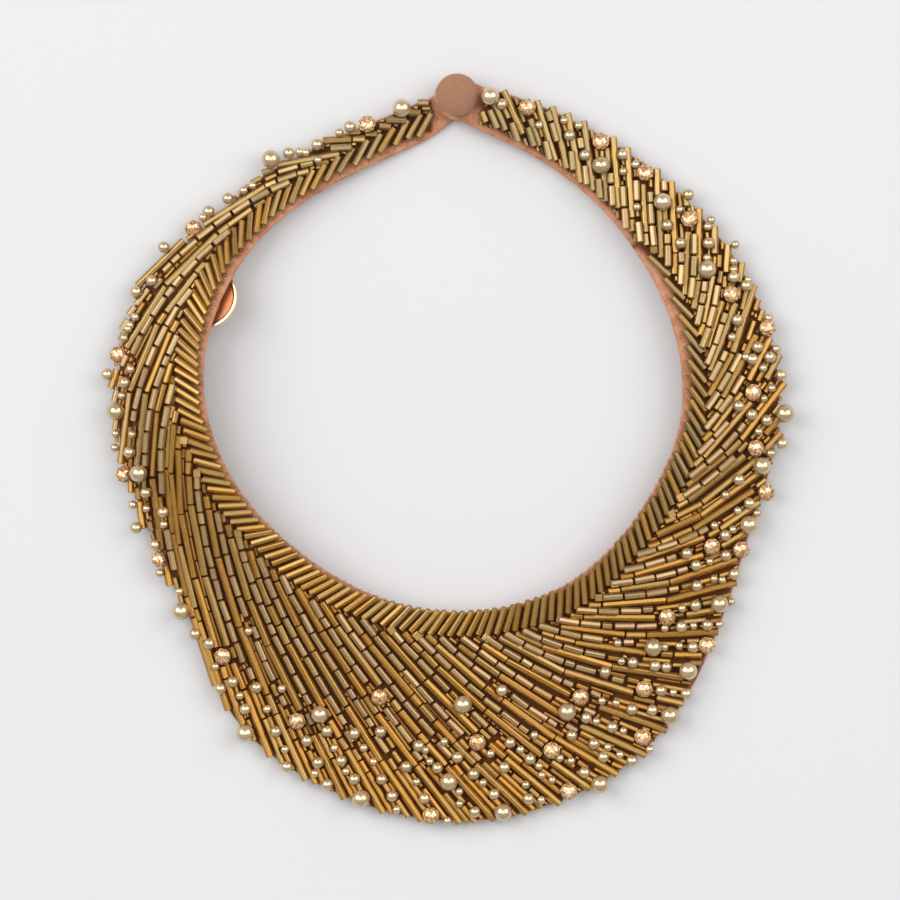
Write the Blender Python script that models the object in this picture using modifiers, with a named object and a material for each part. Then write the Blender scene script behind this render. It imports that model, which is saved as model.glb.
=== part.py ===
"""A beaded bib collar, lying on a table, fastened at the nape by a covered button.

The collar is a strip of suede, narrow at the nape and deep at the front. Its neck edge stands up
off the table and its outer edge lies down. A border of bugle beads follows the neck edge. Outside
it a field of bugle rows leans and fans to the outer edge, with pearls and cupped stones near the end.
Bearings run counterclockwise from the nape, seen from above: 180 degrees is the front of the bib.
"""
import math
from collections import namedtuple

import bmesh
import bpy
from mathutils import Matrix, Vector

# Driving sizes, in metres
NECK_RADIUS = 0.060
BIB_DEPTH = 0.054
BORDER_WIDTH = 0.0075
RISE = 0.012
BACKING_WALL = 0.0016
SEAT_GAP = 0.0003
FIELD_GAP = 0.0006
EDGE_INSET = 0.0004

# Beads
BORDER_BUGLE_LENGTH = 0.007
BORDER_BUGLE = 0.0016
BORDER_PITCH = 0.00205
FIELD_BUGLE = 0.0019
VALLEY_SHARE = 0.62
ROW_PAIR_PITCH = 0.0037
PEARL_RADIUS = 0.0022
PEARL_NEST = 1.2

# Cupped stones
CUP_RADIUS = 0.0021
CUP_FOOT_SHARE = 0.7
CUP_HEIGHT = 0.0017
STONE_SHARE = 0.88
STONE_CROWN = 0.0009
TABLE_SHARE = 0.55
STONE_SIDES = 8
POCKET_WEB = 0.0005

# Closure at the nape
CLOSURE_BEARING = -2.8
CLOSURE_REACH = 1.122
BUTTON_RADIUS = 0.0053
BUTTON_HEIGHT = 0.0034
BUTTON_SHIFT = Vector((-0.0003, 0.0004, 0.0))
TONGUE_MARGIN = 0.0007
NOSE_SHARE = 0.87
SNAP_RADIUS = 0.0036
SNAP_HEIGHT = 0.0012
FIRST_BEAD_BEARING = 2.9
LAST_BORDER_BEARING = 303.0
LAST_FIELD_BEARING = 353.0

# Plain disc sewn under the left side
DISC_BEARING = 74.0
DISC_REACH = 1.040
DISC_RADIUS = 0.008
DISC_THICKNESS = 0.0012
DISC_RIM = 0.0009
DISC_DISH = 0.0005

# neck is a share of NECK_RADIUS, border of BORDER_WIDTH, depth of BIB_DEPTH and lift of RISE.
# rest is the share of the depth where the underside reaches the table. bow and land bend the
# slope: a bow over 1 domes it, a land over 1 lets it run out flat. The leans are degrees off the
# radial of the border bugles, and of the field rows at their inner and outer ends.
Section = namedtuple("Section", "bearing neck border depth lift rest bow land lean lean_in lean_out")
SECTIONS = [
    Section(3, 0.953, 1.00, 0.190, 0.00, 1.00, 1.0, 1.0, -44, 0, 0),
    Section(8, 0.925, 0.96, 0.194, 0.05, 1.00, 1.1, 1.0, -50, 52, 45),
    Section(15, 0.896, 0.93, 0.190, 0.14, 1.00, 1.2, 1.0, -57, 66, 60),
    Section(30, 0.881, 0.82, 0.196, 0.26, 1.00, 1.2, 1.0, -62, 67, 64),
    Section(45, 0.904, 0.90, 0.196, 0.36, 1.00, 1.2, 1.0, -60, 72, 69),
    Section(60, 0.938, 1.00, 0.222, 0.52, 1.00, 1.3, 1.0, -56, 71, 67),
    Section(75, 0.967, 1.13, 0.349, 0.80, 1.00, 1.5, 1.0, -42, 69, 61),
    Section(90, 0.998, 1.08, 0.370, 0.97, 1.00, 1.6, 1.0, -34, 68, 64),
    Section(105, 1.004, 0.97, 0.416, 1.00, 1.00, 1.7, 1.0, -36, 67, 63),
    Section(120, 0.996, 0.97, 0.446, 0.95, 1.00, 1.6, 1.0, -33, 66, 66),
    Section(135, 0.981, 0.98, 0.588, 0.86, 0.97, 1.4, 1.1, -28, 62, 59),
    Section(150, 0.979, 1.03, 0.853, 0.78, 0.82, 1.2, 1.3, -31, 61, 50),
    Section(165, 0.996, 0.97, 0.954, 0.73, 0.72, 1.1, 1.5, -34, 55, 40),
    Section(180, 1.017, 0.93, 1.005, 0.70, 0.68, 1.0, 1.6, -33, 48, 37),
    Section(195, 1.031, 0.95, 0.965, 0.68, 0.68, 1.0, 1.6, -26, 46, 37),
    Section(210, 1.033, 1.03, 0.856, 0.65, 0.74, 1.0, 1.5, -27, 58, 40),
    Section(225, 1.017, 0.90, 0.660, 0.63, 0.84, 1.1, 1.3, -29, 60, 50),
    Section(240, 1.004, 0.93, 0.511, 0.60, 0.96, 1.1, 1.1, -38, 58, 62),
    Section(255, 1.004, 0.93, 0.470, 0.60, 1.00, 1.2, 1.0, -42, 63, 60),
    Section(270, 0.977, 0.88, 0.458, 0.58, 1.00, 1.2, 1.0, -51, 63, 61),
    Section(285, 0.946, 0.77, 0.421, 0.50, 1.00, 1.2, 1.0, -61, 66, 65),
    Section(300, 0.921, 0.47, 0.360, 0.40, 1.00, 1.2, 1.0, -71, 65, 63),
    Section(307, 0.919, 0.20, 0.330, 0.34, 1.00, 1.2, 1.0, -73, 58, 55),
    Section(315, 0.919, 0.17, 0.299, 0.26, 1.00, 1.1, 1.0, -73, 50, 46),
    Section(330, 0.933, 0.17, 0.255, 0.13, 1.00, 1.0, 1.0, -73, 42, 42),
    Section(345, 0.963, 0.17, 0.227, 0.03, 1.00, 1.0, 1.0, -73, 38, 42),
    Section(353, 0.996, 0.20, 0.205, 0.00, 1.00, 1.0, 1.0, -73, 0, 0),
]
COLUMNS = {name: [getattr(row, name) for row in SECTIONS] for name in Section._fields}
FIRST = SECTIONS[0].bearing
LAST = SECTIONS[-1].bearing

# Stones and large pearls, charted by bearing and by share of the way from the border to the edge
STONES = [
    (17.9, 0.60), (62.4, 0.93), (88.4, 0.93), (108.8, 0.92), (124.5, 0.92), (142.8, 0.76),
    (157.4, 0.70), (168.8, 0.36), (178.2, 0.95), (184.9, 0.55), (195.5, 0.69), (196.2, 0.94),
    (202.2, 0.46), (208.0, 0.90), (211.6, 0.67), (221.3, 0.47), (223.1, 0.93), (235.7, 0.54),
    (238.0, 0.89), (248.4, 0.94), (255.0, 0.64), (264.8, 0.54), (276.4, 0.88), (283.7, 0.56),
    (300.7, 0.71), (313.8, 0.80), (325.1, 0.81), (342.8, 0.78),
]
PEARLS = [
    (9.5, 0.75), (40.3, 0.98), (98.1, 0.93), (109.4, 0.74), (133.2, 0.95), (151.5, 0.95),
    (160.2, 0.61), (169.0, 0.94), (180.5, 0.77), (183.0, 0.36), (187.4, 0.95), (199.5, 0.52),
    (200.4, 0.95), (212.6, 0.94), (216.4, 0.55), (218.5, 0.88), (229.1, 0.90), (242.2, 0.90),
    (252.4, 0.85), (261.8, 0.95), (289.8, 0.45), (306.7, 0.67), (321.6, 0.46), (350.5, 0.73),
]

# How finely the meshes are cut
BACKING_STEPS_AROUND = 60
BACKING_STEPS_ACROSS = 5
END_STEPS = 6
FIELD_STOPS = (0, 5, 10, 15, 20, 25)
TRACE_STEPS = 25
EDGE_STEP = 0.0045

# Derived sizes
TONGUE_RADIUS = BUTTON_RADIUS + TONGUE_MARGIN
NOSE_RADIUS = TONGUE_RADIUS * NOSE_SHARE
CLOSURE_RADIUS = NECK_RADIUS * CLOSURE_REACH
PLY_HEIGHT = BACKING_WALL + SNAP_HEIGHT + 2 * SEAT_GAP
PLY_START = 325.0
BEAD_SEAT = BACKING_WALL + SEAT_GAP
FIELD_SEAT = BACKING_WALL + FIELD_GAP


def follow(xs, ys, x):
    """A smooth curve through a table's points, level past its ends."""
    if x <= xs[0]:
        return ys[0]
    if x >= xs[-1]:
        return ys[-1]
    i = max(k for k in range(len(xs) - 1) if xs[k] <= x)
    span = xs[i + 1] - xs[i]
    t = (x - xs[i]) / span

    def slope(k):
        low, high = max(k - 1, 0), min(k + 1, len(xs) - 1)
        return (ys[high] - ys[low]) / (xs[high] - xs[low])

    rise = ys[i + 1] - ys[i]
    a = slope(i) * span - rise
    b = rise - slope(i + 1) * span
    return ys[i] + rise * t + t * (1 - t) * (a * (1 - t) + b * t)


def column(name, bearing):
    return follow(COLUMNS["bearing"], COLUMNS[name], bearing)


def ease(x):
    x = min(max(x, 0.0), 1.0)
    return x * x * (3 - 2 * x)


def round_end(bearing, joint, centre, radius, inner, outer):
    """The strip's edges where it turns into a round end about the closure."""
    along = math.radians(bearing - centre) * CLOSURE_RADIUS
    half = math.sqrt(max(radius ** 2 - along ** 2, 0.0))
    if (bearing - centre) * (joint - centre) > 0:
        share = ease((bearing - joint) / (centre - joint))
        half = radius
    else:
        share = 1.0
    low = inner + (CLOSURE_RADIUS - half - inner) * share
    high = outer + (CLOSURE_RADIUS + half - outer) * share
    return low, high


def edges(bearing):
    """The radii of the neck edge and the outer edge."""
    inner = NECK_RADIUS * column("neck", bearing)
    outer = inner + BIB_DEPTH * column("depth", bearing)
    if bearing < FIRST:
        return round_end(bearing, FIRST, CLOSURE_BEARING, NOSE_RADIUS, inner, outer)
    if bearing > LAST:
        return round_end(bearing, LAST, CLOSURE_BEARING + 360, TONGUE_RADIUS, inner, outer)
    return inner, outer


def ring(bearing):
    """The radius where the border ends and the field starts."""
    return NECK_RADIUS * column("neck", bearing) + BORDER_WIDTH * column("border", bearing)


def under(bearing, share):
    """A point on the underside of the strip, from the neck edge (0) to the outer edge (1)."""
    inner, outer = edges(bearing)
    radius = inner + share * (outer - inner)
    run = min(max(share / column("rest", bearing), 0.0), 1.0)
    height = RISE * column("lift", bearing) * (1 - run ** column("bow", bearing)) ** column("land", bearing)
    height += PLY_HEIGHT * ease((bearing - PLY_START) / (LAST - PLY_START))
    turn = math.radians(bearing)
    return Vector((-radius * math.sin(turn), radius * math.cos(turn), height))


def upward(bearing, share):
    """The strip's normal, pointing up."""
    share = min(max(share, 0.02), 0.98)
    along = under(bearing + 0.5, share) - under(bearing - 0.5, share)
    across = under(bearing, share + 0.02) - under(bearing, share - 0.02)
    normal = across.cross(along)
    if normal.z < 0:
        normal.negate()
    return normal.normalized()


def place(bearing, share, height):
    """A point over the strip, at a height above its underside."""
    return under(bearing, share) + upward(bearing, share) * height


def share_at(bearing, radius):
    inner, outer = edges(bearing)
    return (radius - inner) / (outer - inner)


def field_share(bearing, across):
    """The strip's share for a share of the way from the border to the outer edge."""
    start = share_at(bearing, ring(bearing) + SEAT_GAP / 2)
    return start + across * (1 - start)


def collection(name):
    made = bpy.data.collections.new(name)
    bpy.context.scene.collection.children.link(made)
    return made


def material(name, colour, roughness, metallic):
    made = bpy.data.materials.new(name)
    made.use_nodes = True
    shader = made.node_tree.nodes["Principled BSDF"]
    shader.inputs["Base Color"].default_value = (*colour, 1.0)
    shader.inputs["Roughness"].default_value = roughness
    shader.inputs["Metallic"].default_value = metallic
    return made


def add_object(name, bm, made_of, home, parent):
    mesh = bpy.data.meshes.new(name)
    bm.to_mesh(mesh)
    bm.free()
    mesh.materials.append(made_of)
    obj = bpy.data.objects.new(name, mesh)
    home.objects.link(obj)
    obj.parent = parent
    return obj


def add_cutter(name, bm, made_of, home, parent):
    obj = add_object(name, bm, made_of, home, parent)
    obj.hide_render = True
    obj.display_type = "WIRE"
    return obj


def grid(columns, rows, point):
    """A grid of quads whose corner (i, j) lies at point(i, j)."""
    bm = bmesh.new()
    bmesh.ops.create_grid(bm, x_segments=columns, y_segments=rows, size=1.0)
    for vertex in bm.verts:
        i = round((vertex.co.x + 1) / 2 * columns)
        j = round((vertex.co.y + 1) / 2 * rows)
        vertex.co = point(i, j)
    return bm


def bead_layer(lines):
    """A closed layer through lines of points, each line a pair of lists: its top and its bottom."""
    across = len(lines[0][0])

    def point(i, j):
        top, bottom = lines[i]
        j = j % (2 * across)
        return top[j] if j < across else bottom[2 * across - 1 - j]

    bm = grid(len(lines) - 1, 2 * across, point)
    bmesh.ops.remove_doubles(bm, verts=bm.verts, dist=1e-7)
    bmesh.ops.holes_fill(bm, edges=[edge for edge in bm.edges if edge.is_boundary], sides=0)
    bmesh.ops.triangulate(bm, faces=[face for face in bm.faces if len(face.verts) > 4])
    bmesh.ops.recalc_face_normals(bm, faces=bm.faces)
    return bm


def backing_bearings():
    """Bearings from the nose's tip to the tongue's tip, closer together on the round ends."""
    nose = math.degrees(NOSE_RADIUS / CLOSURE_RADIUS)
    tongue = math.degrees(TONGUE_RADIUS / CLOSURE_RADIUS)
    arc = [math.pi / 2 * (k + 0.35) / END_STEPS for k in range(END_STEPS)]
    left = [CLOSURE_BEARING - nose * math.cos(turn) for turn in arc]
    right = [CLOSURE_BEARING + 360 + tongue * math.cos(turn) for turn in reversed(arc)]
    step = (LAST - FIRST) / BACKING_STEPS_AROUND
    middle = [FIRST + step * k for k in range(BACKING_STEPS_AROUND + 1)]
    return left + [CLOSURE_BEARING, 0.2] + middle + [355.2, CLOSURE_BEARING + 360] + right


def make_backing(made_of, home, parent):
    bearings = backing_bearings()

    def point(i, j):
        inner, outer = edges(bearings[i])
        end = 1 - EDGE_INSET / (outer - inner)
        return under(bearings[i], end * j / BACKING_STEPS_ACROSS)

    bm = grid(len(bearings) - 1, BACKING_STEPS_ACROSS, point)
    bmesh.ops.recalc_face_normals(bm, faces=bm.faces)
    bm.faces.ensure_lookup_table()
    if bm.faces[0].normal.z > 0:
        bmesh.ops.reverse_faces(bm, faces=bm.faces)
    obj = add_object("backing", bm, made_of, home, parent)
    wall = obj.modifiers.new("wall", "SOLIDIFY")
    wall.thickness = BACKING_WALL
    wall.offset = -1.0
    return obj


def border_line(bearing, height):
    """Top and bottom of a line along a border bugle that ends at this bearing on the ring."""
    lean = math.radians(-column("lean", bearing))
    start = ring(bearing) - SEAT_GAP / 2
    length = min(BORDER_BUGLE_LENGTH, (start - edges(bearing)[0]) / math.cos(lean))
    end = start - length * math.cos(lean)
    turned = bearing + math.degrees(length * math.sin(lean) / end)
    path = [(turned, share_at(turned, end)), (bearing, share_at(bearing, start))]
    top = [place(b, s, BEAD_SEAT + height) for b, s in path]
    bottom = [place(b, s, BEAD_SEAT) for b, s in path]
    return top, bottom


def make_border(made_of, home, parent):
    lines = []
    bearing = FIRST_BEAD_BEARING
    valley = False
    while bearing < LAST_BORDER_BEARING:
        lines.append(border_line(bearing, BORDER_BUGLE * (VALLEY_SHARE if valley else 1.0)))
        lean = math.radians(column("lean", bearing))
        bearing += math.degrees(BORDER_PITCH / 2 / (ring(bearing) * math.cos(lean)))
        valley = not valley
    obj = add_object("border_bugles", bead_layer(lines), made_of, home, parent)
    return obj


def trace_row(bearing):
    """Bearings and shares along a field row, from the border out to the edge."""
    path = [(bearing, 0.0)]
    for step in range(TRACE_STEPS):
        across = (step + 0.5) / TRACE_STEPS
        inner_lean, outer_lean = column("lean_in", bearing), column("lean_out", bearing)
        lean = math.tan(math.radians(inner_lean + (outer_lean - inner_lean) * across))
        start, end = ring(bearing), edges(bearing)[1]
        next_start, next_end = ring(bearing + 0.5), edges(bearing + 0.5)[1]
        radius = start + (end - start) * across
        growth = (next_start + (next_end - next_start) * across - radius) / math.radians(0.5)
        turn = lean * (end - start) / TRACE_STEPS / max(radius - lean * growth, radius / 4)
        bearing = min(bearing + math.degrees(turn), LAST_FIELD_BEARING)
        path.append((bearing, (step + 1) / TRACE_STEPS))
    return [path[stop] for stop in FIELD_STOPS]


def row_step(bearing):
    """The bearing from one row to the next, less where the rows fan out widely."""
    lean = math.radians(column("lean_in", bearing))
    step = math.degrees(ROW_PAIR_PITCH / 2 / (ring(bearing) * math.cos(lean)))
    end = trace_row(bearing)[-1][0]
    fan = math.radians(trace_row(bearing + step)[-1][0] - end) * edges(end)[1]
    return step * min(1.0, EDGE_STEP / fan) if fan > 0 else step


def field_line(bearing, height):
    path = [(b, field_share(b, across)) for b, across in trace_row(bearing)]
    top = [place(b, share, FIELD_SEAT + height) for b, share in path]
    bottom = [place(b, share, FIELD_SEAT) for b, share in path]
    return top, bottom


def at_chart(chart, height):
    """The frame of a charted bead: its foot at a height over the underside, standing upright."""
    bearing, across = chart
    share = field_share(bearing, across)
    turn = upward(bearing, share).to_track_quat("Z", "Y")
    return Matrix.Translation(place(bearing, share, height)) @ turn.to_matrix().to_4x4()


def make_field(made_of, home, cutters, parent):
    lines = []
    bearing = FIRST_BEAD_BEARING
    valley = False
    while bearing < LAST_FIELD_BEARING:
        lines.append(field_line(bearing, FIELD_BUGLE * (VALLEY_SHARE if valley else 1.0)))
        bearing += row_step(bearing)
        valley = not valley
    field = add_object("bead_field", bead_layer(lines), made_of, home, parent)

    pearls = bmesh.new()
    for chart in PEARLS:
        matrix = at_chart(chart, FIELD_SEAT + PEARL_RADIUS * PEARL_NEST)
        bmesh.ops.create_icosphere(pearls, subdivisions=2, radius=PEARL_RADIUS, matrix=matrix)
    pearl_set = add_cutter("large_pearls", pearls, made_of, cutters, parent)

    pockets = bmesh.new()
    depth = FIELD_BUGLE * 3
    radius = (CUP_RADIUS + SEAT_GAP) / math.cos(math.pi / STONE_SIDES)
    for chart in STONES:
        matrix = at_chart(chart, FIELD_SEAT + POCKET_WEB + depth / 2)
        bmesh.ops.create_cone(pockets, cap_ends=True, segments=STONE_SIDES, radius1=radius,
                              radius2=radius, depth=depth, matrix=matrix)
    pocket_set = add_cutter("stone_pockets", pockets, made_of, cutters, parent)

    for name, kind, tool in (("pearls", "UNION", pearl_set), ("pockets", "DIFFERENCE", pocket_set)):
        boolean = field.modifiers.new(name, "BOOLEAN")
        boolean.operation = kind
        boolean.object = tool
    return field


def turned(name, profile, steps, made_of, home, parent):
    """A turned piece: a profile of (radius, height) from the axis at the top to the axis below."""
    bm = bmesh.new()
    corners = [bm.verts.new((radius, 0.0, height)) for radius, height in profile]
    for first, second in zip(corners, corners[1:]):
        bm.edges.new((first, second))
    obj = add_object(name, bm, made_of, home, parent)
    screw = obj.modifiers.new("turn", "SCREW")
    screw.steps = steps
    screw.render_steps = steps
    screw.use_merge_vertices = True
    screw.merge_threshold = 1e-6
    screw.use_smooth_shade = False
    return obj


def make_stone(index, chart, made_of, home, parent):
    """A cut stone fused to its brass cup."""
    stone = CUP_RADIUS * STONE_SHARE
    profile = [
        (0.0, CUP_HEIGHT + STONE_CROWN),
        (stone * TABLE_SHARE, CUP_HEIGHT + STONE_CROWN),
        (stone, CUP_HEIGHT),
        (CUP_RADIUS, CUP_HEIGHT),
        (CUP_RADIUS, CUP_HEIGHT / 2),
        (CUP_RADIUS * CUP_FOOT_SHARE, 0.0),
        (0.0, 0.0),
    ]
    obj = turned(f"rhinestone_{index:02d}", profile, STONE_SIDES, made_of, home, parent)
    matrix = at_chart(chart, FIELD_SEAT + POCKET_WEB + SEAT_GAP)
    obj.location = matrix.to_translation()
    obj.rotation_euler = matrix.to_euler()
    return obj


def closure_point(height):
    turn = math.radians(CLOSURE_BEARING)
    return Vector((-CLOSURE_RADIUS * math.sin(turn), CLOSURE_RADIUS * math.cos(turn), height))


def make_button(made_of, home, parent):
    """A fabric-covered button: a low dome over a rolled edge."""
    dome = [(BUTTON_RADIUS * math.sin(a), BUTTON_HEIGHT * (0.55 + 0.45 * math.cos(a)))
            for a in (0.0, 0.35, 0.7, 1.05, 1.4)]
    roll = [(BUTTON_RADIUS, BUTTON_HEIGHT * 0.42), (BUTTON_RADIUS * 0.9, BUTTON_HEIGHT * 0.12)]
    foot = [(BUTTON_RADIUS * 0.72, 0.0), (0.0, 0.0)]
    obj = turned("cover_button", dome + roll + foot, 24, made_of, home, parent)
    obj.location = closure_point(PLY_HEIGHT + BACKING_WALL + SEAT_GAP) + BUTTON_SHIFT
    return obj


def make_snap(made_of, home, parent):
    """The hidden fastener, one plain piece between the two ends."""
    profile = [
        (0.0, SNAP_HEIGHT),
        (SNAP_RADIUS * 0.6, SNAP_HEIGHT),
        (SNAP_RADIUS, SNAP_HEIGHT * 0.6),
        (SNAP_RADIUS, SNAP_HEIGHT * 0.4),
        (SNAP_RADIUS * 0.6, 0.0),
        (0.0, 0.0),
    ]
    obj = turned("snap", profile, 16, made_of, home, parent)
    obj.location = closure_point(BACKING_WALL + SEAT_GAP)
    return obj


def make_disc(made_of, home, parent):
    """A thin dished disc with a raised rim, hung flat against the strip's underside."""
    floor = DISC_THICKNESS - DISC_DISH
    profile = [
        (0.0, floor),
        (DISC_RADIUS - DISC_RIM * 1.6, floor),
        (DISC_RADIUS - DISC_RIM, DISC_THICKNESS),
        (DISC_RADIUS - DISC_RIM * 0.35, DISC_THICKNESS),
        (DISC_RADIUS, DISC_THICKNESS * 0.6),
        (DISC_RADIUS - DISC_RIM * 0.5, 0.0),
        (0.0, 0.0),
    ]
    obj = turned("back_disc", profile, 28, made_of, home, parent)
    radius = NECK_RADIUS * DISC_REACH
    share = share_at(DISC_BEARING, radius)
    up = upward(DISC_BEARING, share)
    turn = up.to_track_quat("Z", "Y")
    centre = under(DISC_BEARING, share)
    rim = [centre + turn @ Vector((DISC_RADIUS * math.cos(a), DISC_RADIUS * math.sin(a), 0.0))
           for a in (math.tau * k / 24 for k in range(24))]
    drop = max((corner - under_nearest(corner)).dot(up) for corner in rim)
    seat = max(drop, 0.0) + SEAT_GAP + DISC_THICKNESS
    obj.location = centre - up * seat
    obj.rotation_euler = turn.to_euler()
    return obj


def under_nearest(point):
    """The underside's point straight over or under a point, or the point itself outside the strip."""
    bearing = math.degrees(math.atan2(-point.x, point.y)) % 360
    share = share_at(bearing, math.hypot(point.x, point.y))
    return under(bearing, share) if 0 <= share <= 1 else point


def footprint(objects):
    """The lowest and highest corners of the evaluated objects."""
    bpy.context.view_layer.update()
    graph = bpy.context.evaluated_depsgraph_get()
    corners = []
    for obj in objects:
        seen = obj.evaluated_get(graph)
        mesh = seen.to_mesh()
        corners += [seen.matrix_world @ vertex.co for vertex in mesh.vertices]
        seen.to_mesh_clear()
    low = Vector(min(corner[axis] for corner in corners) for axis in range(3))
    high = Vector(max(corner[axis] for corner in corners) for axis in range(3))
    return low, high


def main():
    for obj in list(bpy.data.objects):
        bpy.data.objects.remove(obj)
    home = collection("bib_necklace")
    cutters = collection("cutters")
    neck = bpy.data.objects.new("neck_centre", None)
    home.objects.link(neck)

    suede = material("suede", (0.42, 0.19, 0.11), 0.9, 0.0)
    gold = material("antique_gold", (0.43, 0.30, 0.11), 0.35, 0.9)
    crystal = material("peach_crystal", (0.75, 0.42, 0.24), 0.1, 0.2)
    twill = material("twill", (0.33, 0.19, 0.13), 0.85, 0.0)
    brass = material("brass", (0.55, 0.38, 0.18), 0.35, 1.0)
    copper = material("copper", (0.60, 0.30, 0.15), 0.4, 1.0)

    parts = [
        make_backing(suede, home, neck),
        make_border(gold, home, neck),
        make_field(gold, home, cutters, neck),
        make_button(twill, home, neck),
        make_snap(brass, home, neck),
        make_disc(copper, home, neck),
    ]
    for index, chart in enumerate(STONES, start=1):
        parts.append(make_stone(index, chart, crystal, home, neck))

    low, high = footprint(parts)
    neck.location = Vector((-(low.x + high.x) / 2, -(low.y + high.y) / 2, -low.z))


main()
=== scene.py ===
# %% [markdown]
# A beaded bib necklace, lying flat
#
# The necklace is a strip of suede, sewn all over with glass bugle beads, pearls and cupped stones,
# and fastened at the nape under a covered button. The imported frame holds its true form: where the
# strip lies, how high it stands and where each stone sits. This lesson measures that form and sews
# the real beads onto it, one kind after the other.

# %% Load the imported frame
import bisect
import math
import random

import bmesh
import bpy
from mathutils import Matrix, Vector
from mathutils.bvhtree import BVHTree


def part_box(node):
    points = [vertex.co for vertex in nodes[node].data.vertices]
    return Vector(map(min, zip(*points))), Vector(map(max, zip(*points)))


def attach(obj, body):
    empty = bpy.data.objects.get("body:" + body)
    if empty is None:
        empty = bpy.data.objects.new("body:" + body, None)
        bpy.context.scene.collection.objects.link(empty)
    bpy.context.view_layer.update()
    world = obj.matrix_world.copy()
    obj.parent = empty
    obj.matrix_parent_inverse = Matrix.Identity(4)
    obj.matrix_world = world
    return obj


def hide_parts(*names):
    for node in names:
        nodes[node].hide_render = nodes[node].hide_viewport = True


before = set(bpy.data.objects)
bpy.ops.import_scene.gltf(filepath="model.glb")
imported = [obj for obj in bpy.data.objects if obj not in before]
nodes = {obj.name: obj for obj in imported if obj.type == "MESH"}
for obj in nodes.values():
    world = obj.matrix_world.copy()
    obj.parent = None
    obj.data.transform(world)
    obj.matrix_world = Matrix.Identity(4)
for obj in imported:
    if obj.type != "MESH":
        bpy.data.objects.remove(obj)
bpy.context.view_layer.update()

MM = 0.001
print("nodes in the frame:", len(nodes))

# %% [markdown]
# The camera, the light and the floor
#
# The photograph looks straight down from far off, so the camera hangs high over the middle with a
# long lens, which keeps raised beads from spreading outwards. Two soft lamps stand left and right,
# a little towards the nape: every pearl shows one bright window on each shoulder. A third hangs
# high up and evens out the floor. A dim pale room fills the rest, so the gaps between the beads
# stay deep.

# %% Camera straight above
VIEW_WIDTH = 225 * MM
CAMERA_HEIGHT = 2.4
CAMERA_SIDE = 0.5 * MM
CAMERA_REACH = 20.0
BEAD_LEVEL = 6 * MM


def add_object(name, data):
    """A new object in the scene for a mesh, a curve, a lamp or a camera."""
    made = bpy.data.objects.new(name, data)
    bpy.context.scene.collection.objects.link(made)
    return made


camera_data = bpy.data.cameras.new("portrait")
camera_data.lens = camera_data.sensor_width * (CAMERA_HEIGHT - BEAD_LEVEL) / VIEW_WIDTH
camera_data.clip_end = CAMERA_REACH
camera = add_object("portrait", camera_data)
camera.location = (CAMERA_SIDE, 0.0, CAMERA_HEIGHT)
bpy.context.scene.camera = camera
print("lens:", round(camera_data.lens, 1), "mm")


# %% Soft lamps and a pale room
SIDE_LAMP_SIZE = 1.7
HIGH_LAMP_SIZE = 2.0
ROOM_COLOUR = (1.0, 0.98, 0.95, 1.0)
ROOM_STRENGTH = 0.42
MIDDLE = Vector((0.0, 0.0, 0.0))


def soft_lamp(name, place, size, power):
    """A square lamp, by its size in metres and its power in watts, that faces the middle."""
    data = bpy.data.lights.new(name, "AREA")
    data.shape = "SQUARE"
    data.size = size
    data.energy = power
    lamp = add_object(name, data)
    lamp.location = place
    lamp.rotation_euler = (MIDDLE - Vector(place)).to_track_quat("-Z", "Y").to_euler()
    lamp.visible_camera = False


soft_lamp("left_lamp", (-1.40, 0.60, 1.50), SIDE_LAMP_SIZE, 34)
soft_lamp("right_lamp", (1.40, 0.60, 1.50), SIDE_LAMP_SIZE, 25)
soft_lamp("high_lamp", (0.0, 0.2, 3.0), HIGH_LAMP_SIZE, 22)

room = bpy.data.worlds.new("pale_room")
bpy.context.scene.world = room
room.use_nodes = True
background = room.node_tree.nodes["Background"]
background.inputs["Color"].default_value = ROOM_COLOUR
background.inputs["Strength"].default_value = ROOM_STRENGTH
bpy.context.scene.view_settings.view_transform = "Standard"
print("lamps:", [lamp.name for lamp in bpy.data.lights])


# %% Colours as the eye names them
def shade(red, green, blue):
    """A colour given as 0 to 255, as linear light."""
    def linear(value):
        value /= 255
        return value / 12.92 if value <= 0.04045 else ((value + 0.055) / 1.055) ** 2.4
    return (linear(red), linear(green), linear(blue), 1.0)


def plain_material(name, colour, roughness, metallic=0.0):
    made = bpy.data.materials.new(name)
    made.use_nodes = True
    shader = made.node_tree.nodes["Principled BSDF"]
    shader.inputs["Base Color"].default_value = colour
    shader.inputs["Roughness"].default_value = roughness
    shader.inputs["Metallic"].default_value = metallic
    return made, made.node_tree, shader


# %% The floor
def pick_nothing():
    """Back to object mode with nothing selected, as every operator here expects."""
    if bpy.context.mode != "OBJECT":
        bpy.ops.object.mode_set(mode="OBJECT")
    bpy.ops.object.select_all(action="DESELECT")


def pick(obj):
    """Selects one object alone and makes it the active one."""
    pick_nothing()
    obj.select_set(True)
    bpy.context.view_layer.objects.active = obj


FLOOR_SIZE = 8.0
FLOOR_DROP = 0.1 * MM
pick_nothing()
bpy.ops.mesh.primitive_plane_add(size=FLOOR_SIZE, location=(0, 0, -FLOOR_DROP))
floor = bpy.context.object
floor.name = "floor"
floor_paint, _, _ = plain_material("pale_floor", shade(205, 205, 206), 0.9)
floor.data.materials.append(floor_paint)
print("floor:", FLOOR_SIZE, "m across")

# %% [markdown]
# Measuring the strip
#
# All beads are placed by a bearing round the neck and a distance from its centre, the way a bead
# worker turns the collar while sewing. Bearing 0 is the nape, 180 the front, counted
# counterclockwise from above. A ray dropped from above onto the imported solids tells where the
# strip starts, where the border ends, where the field ends, and how high the suede lies.

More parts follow.
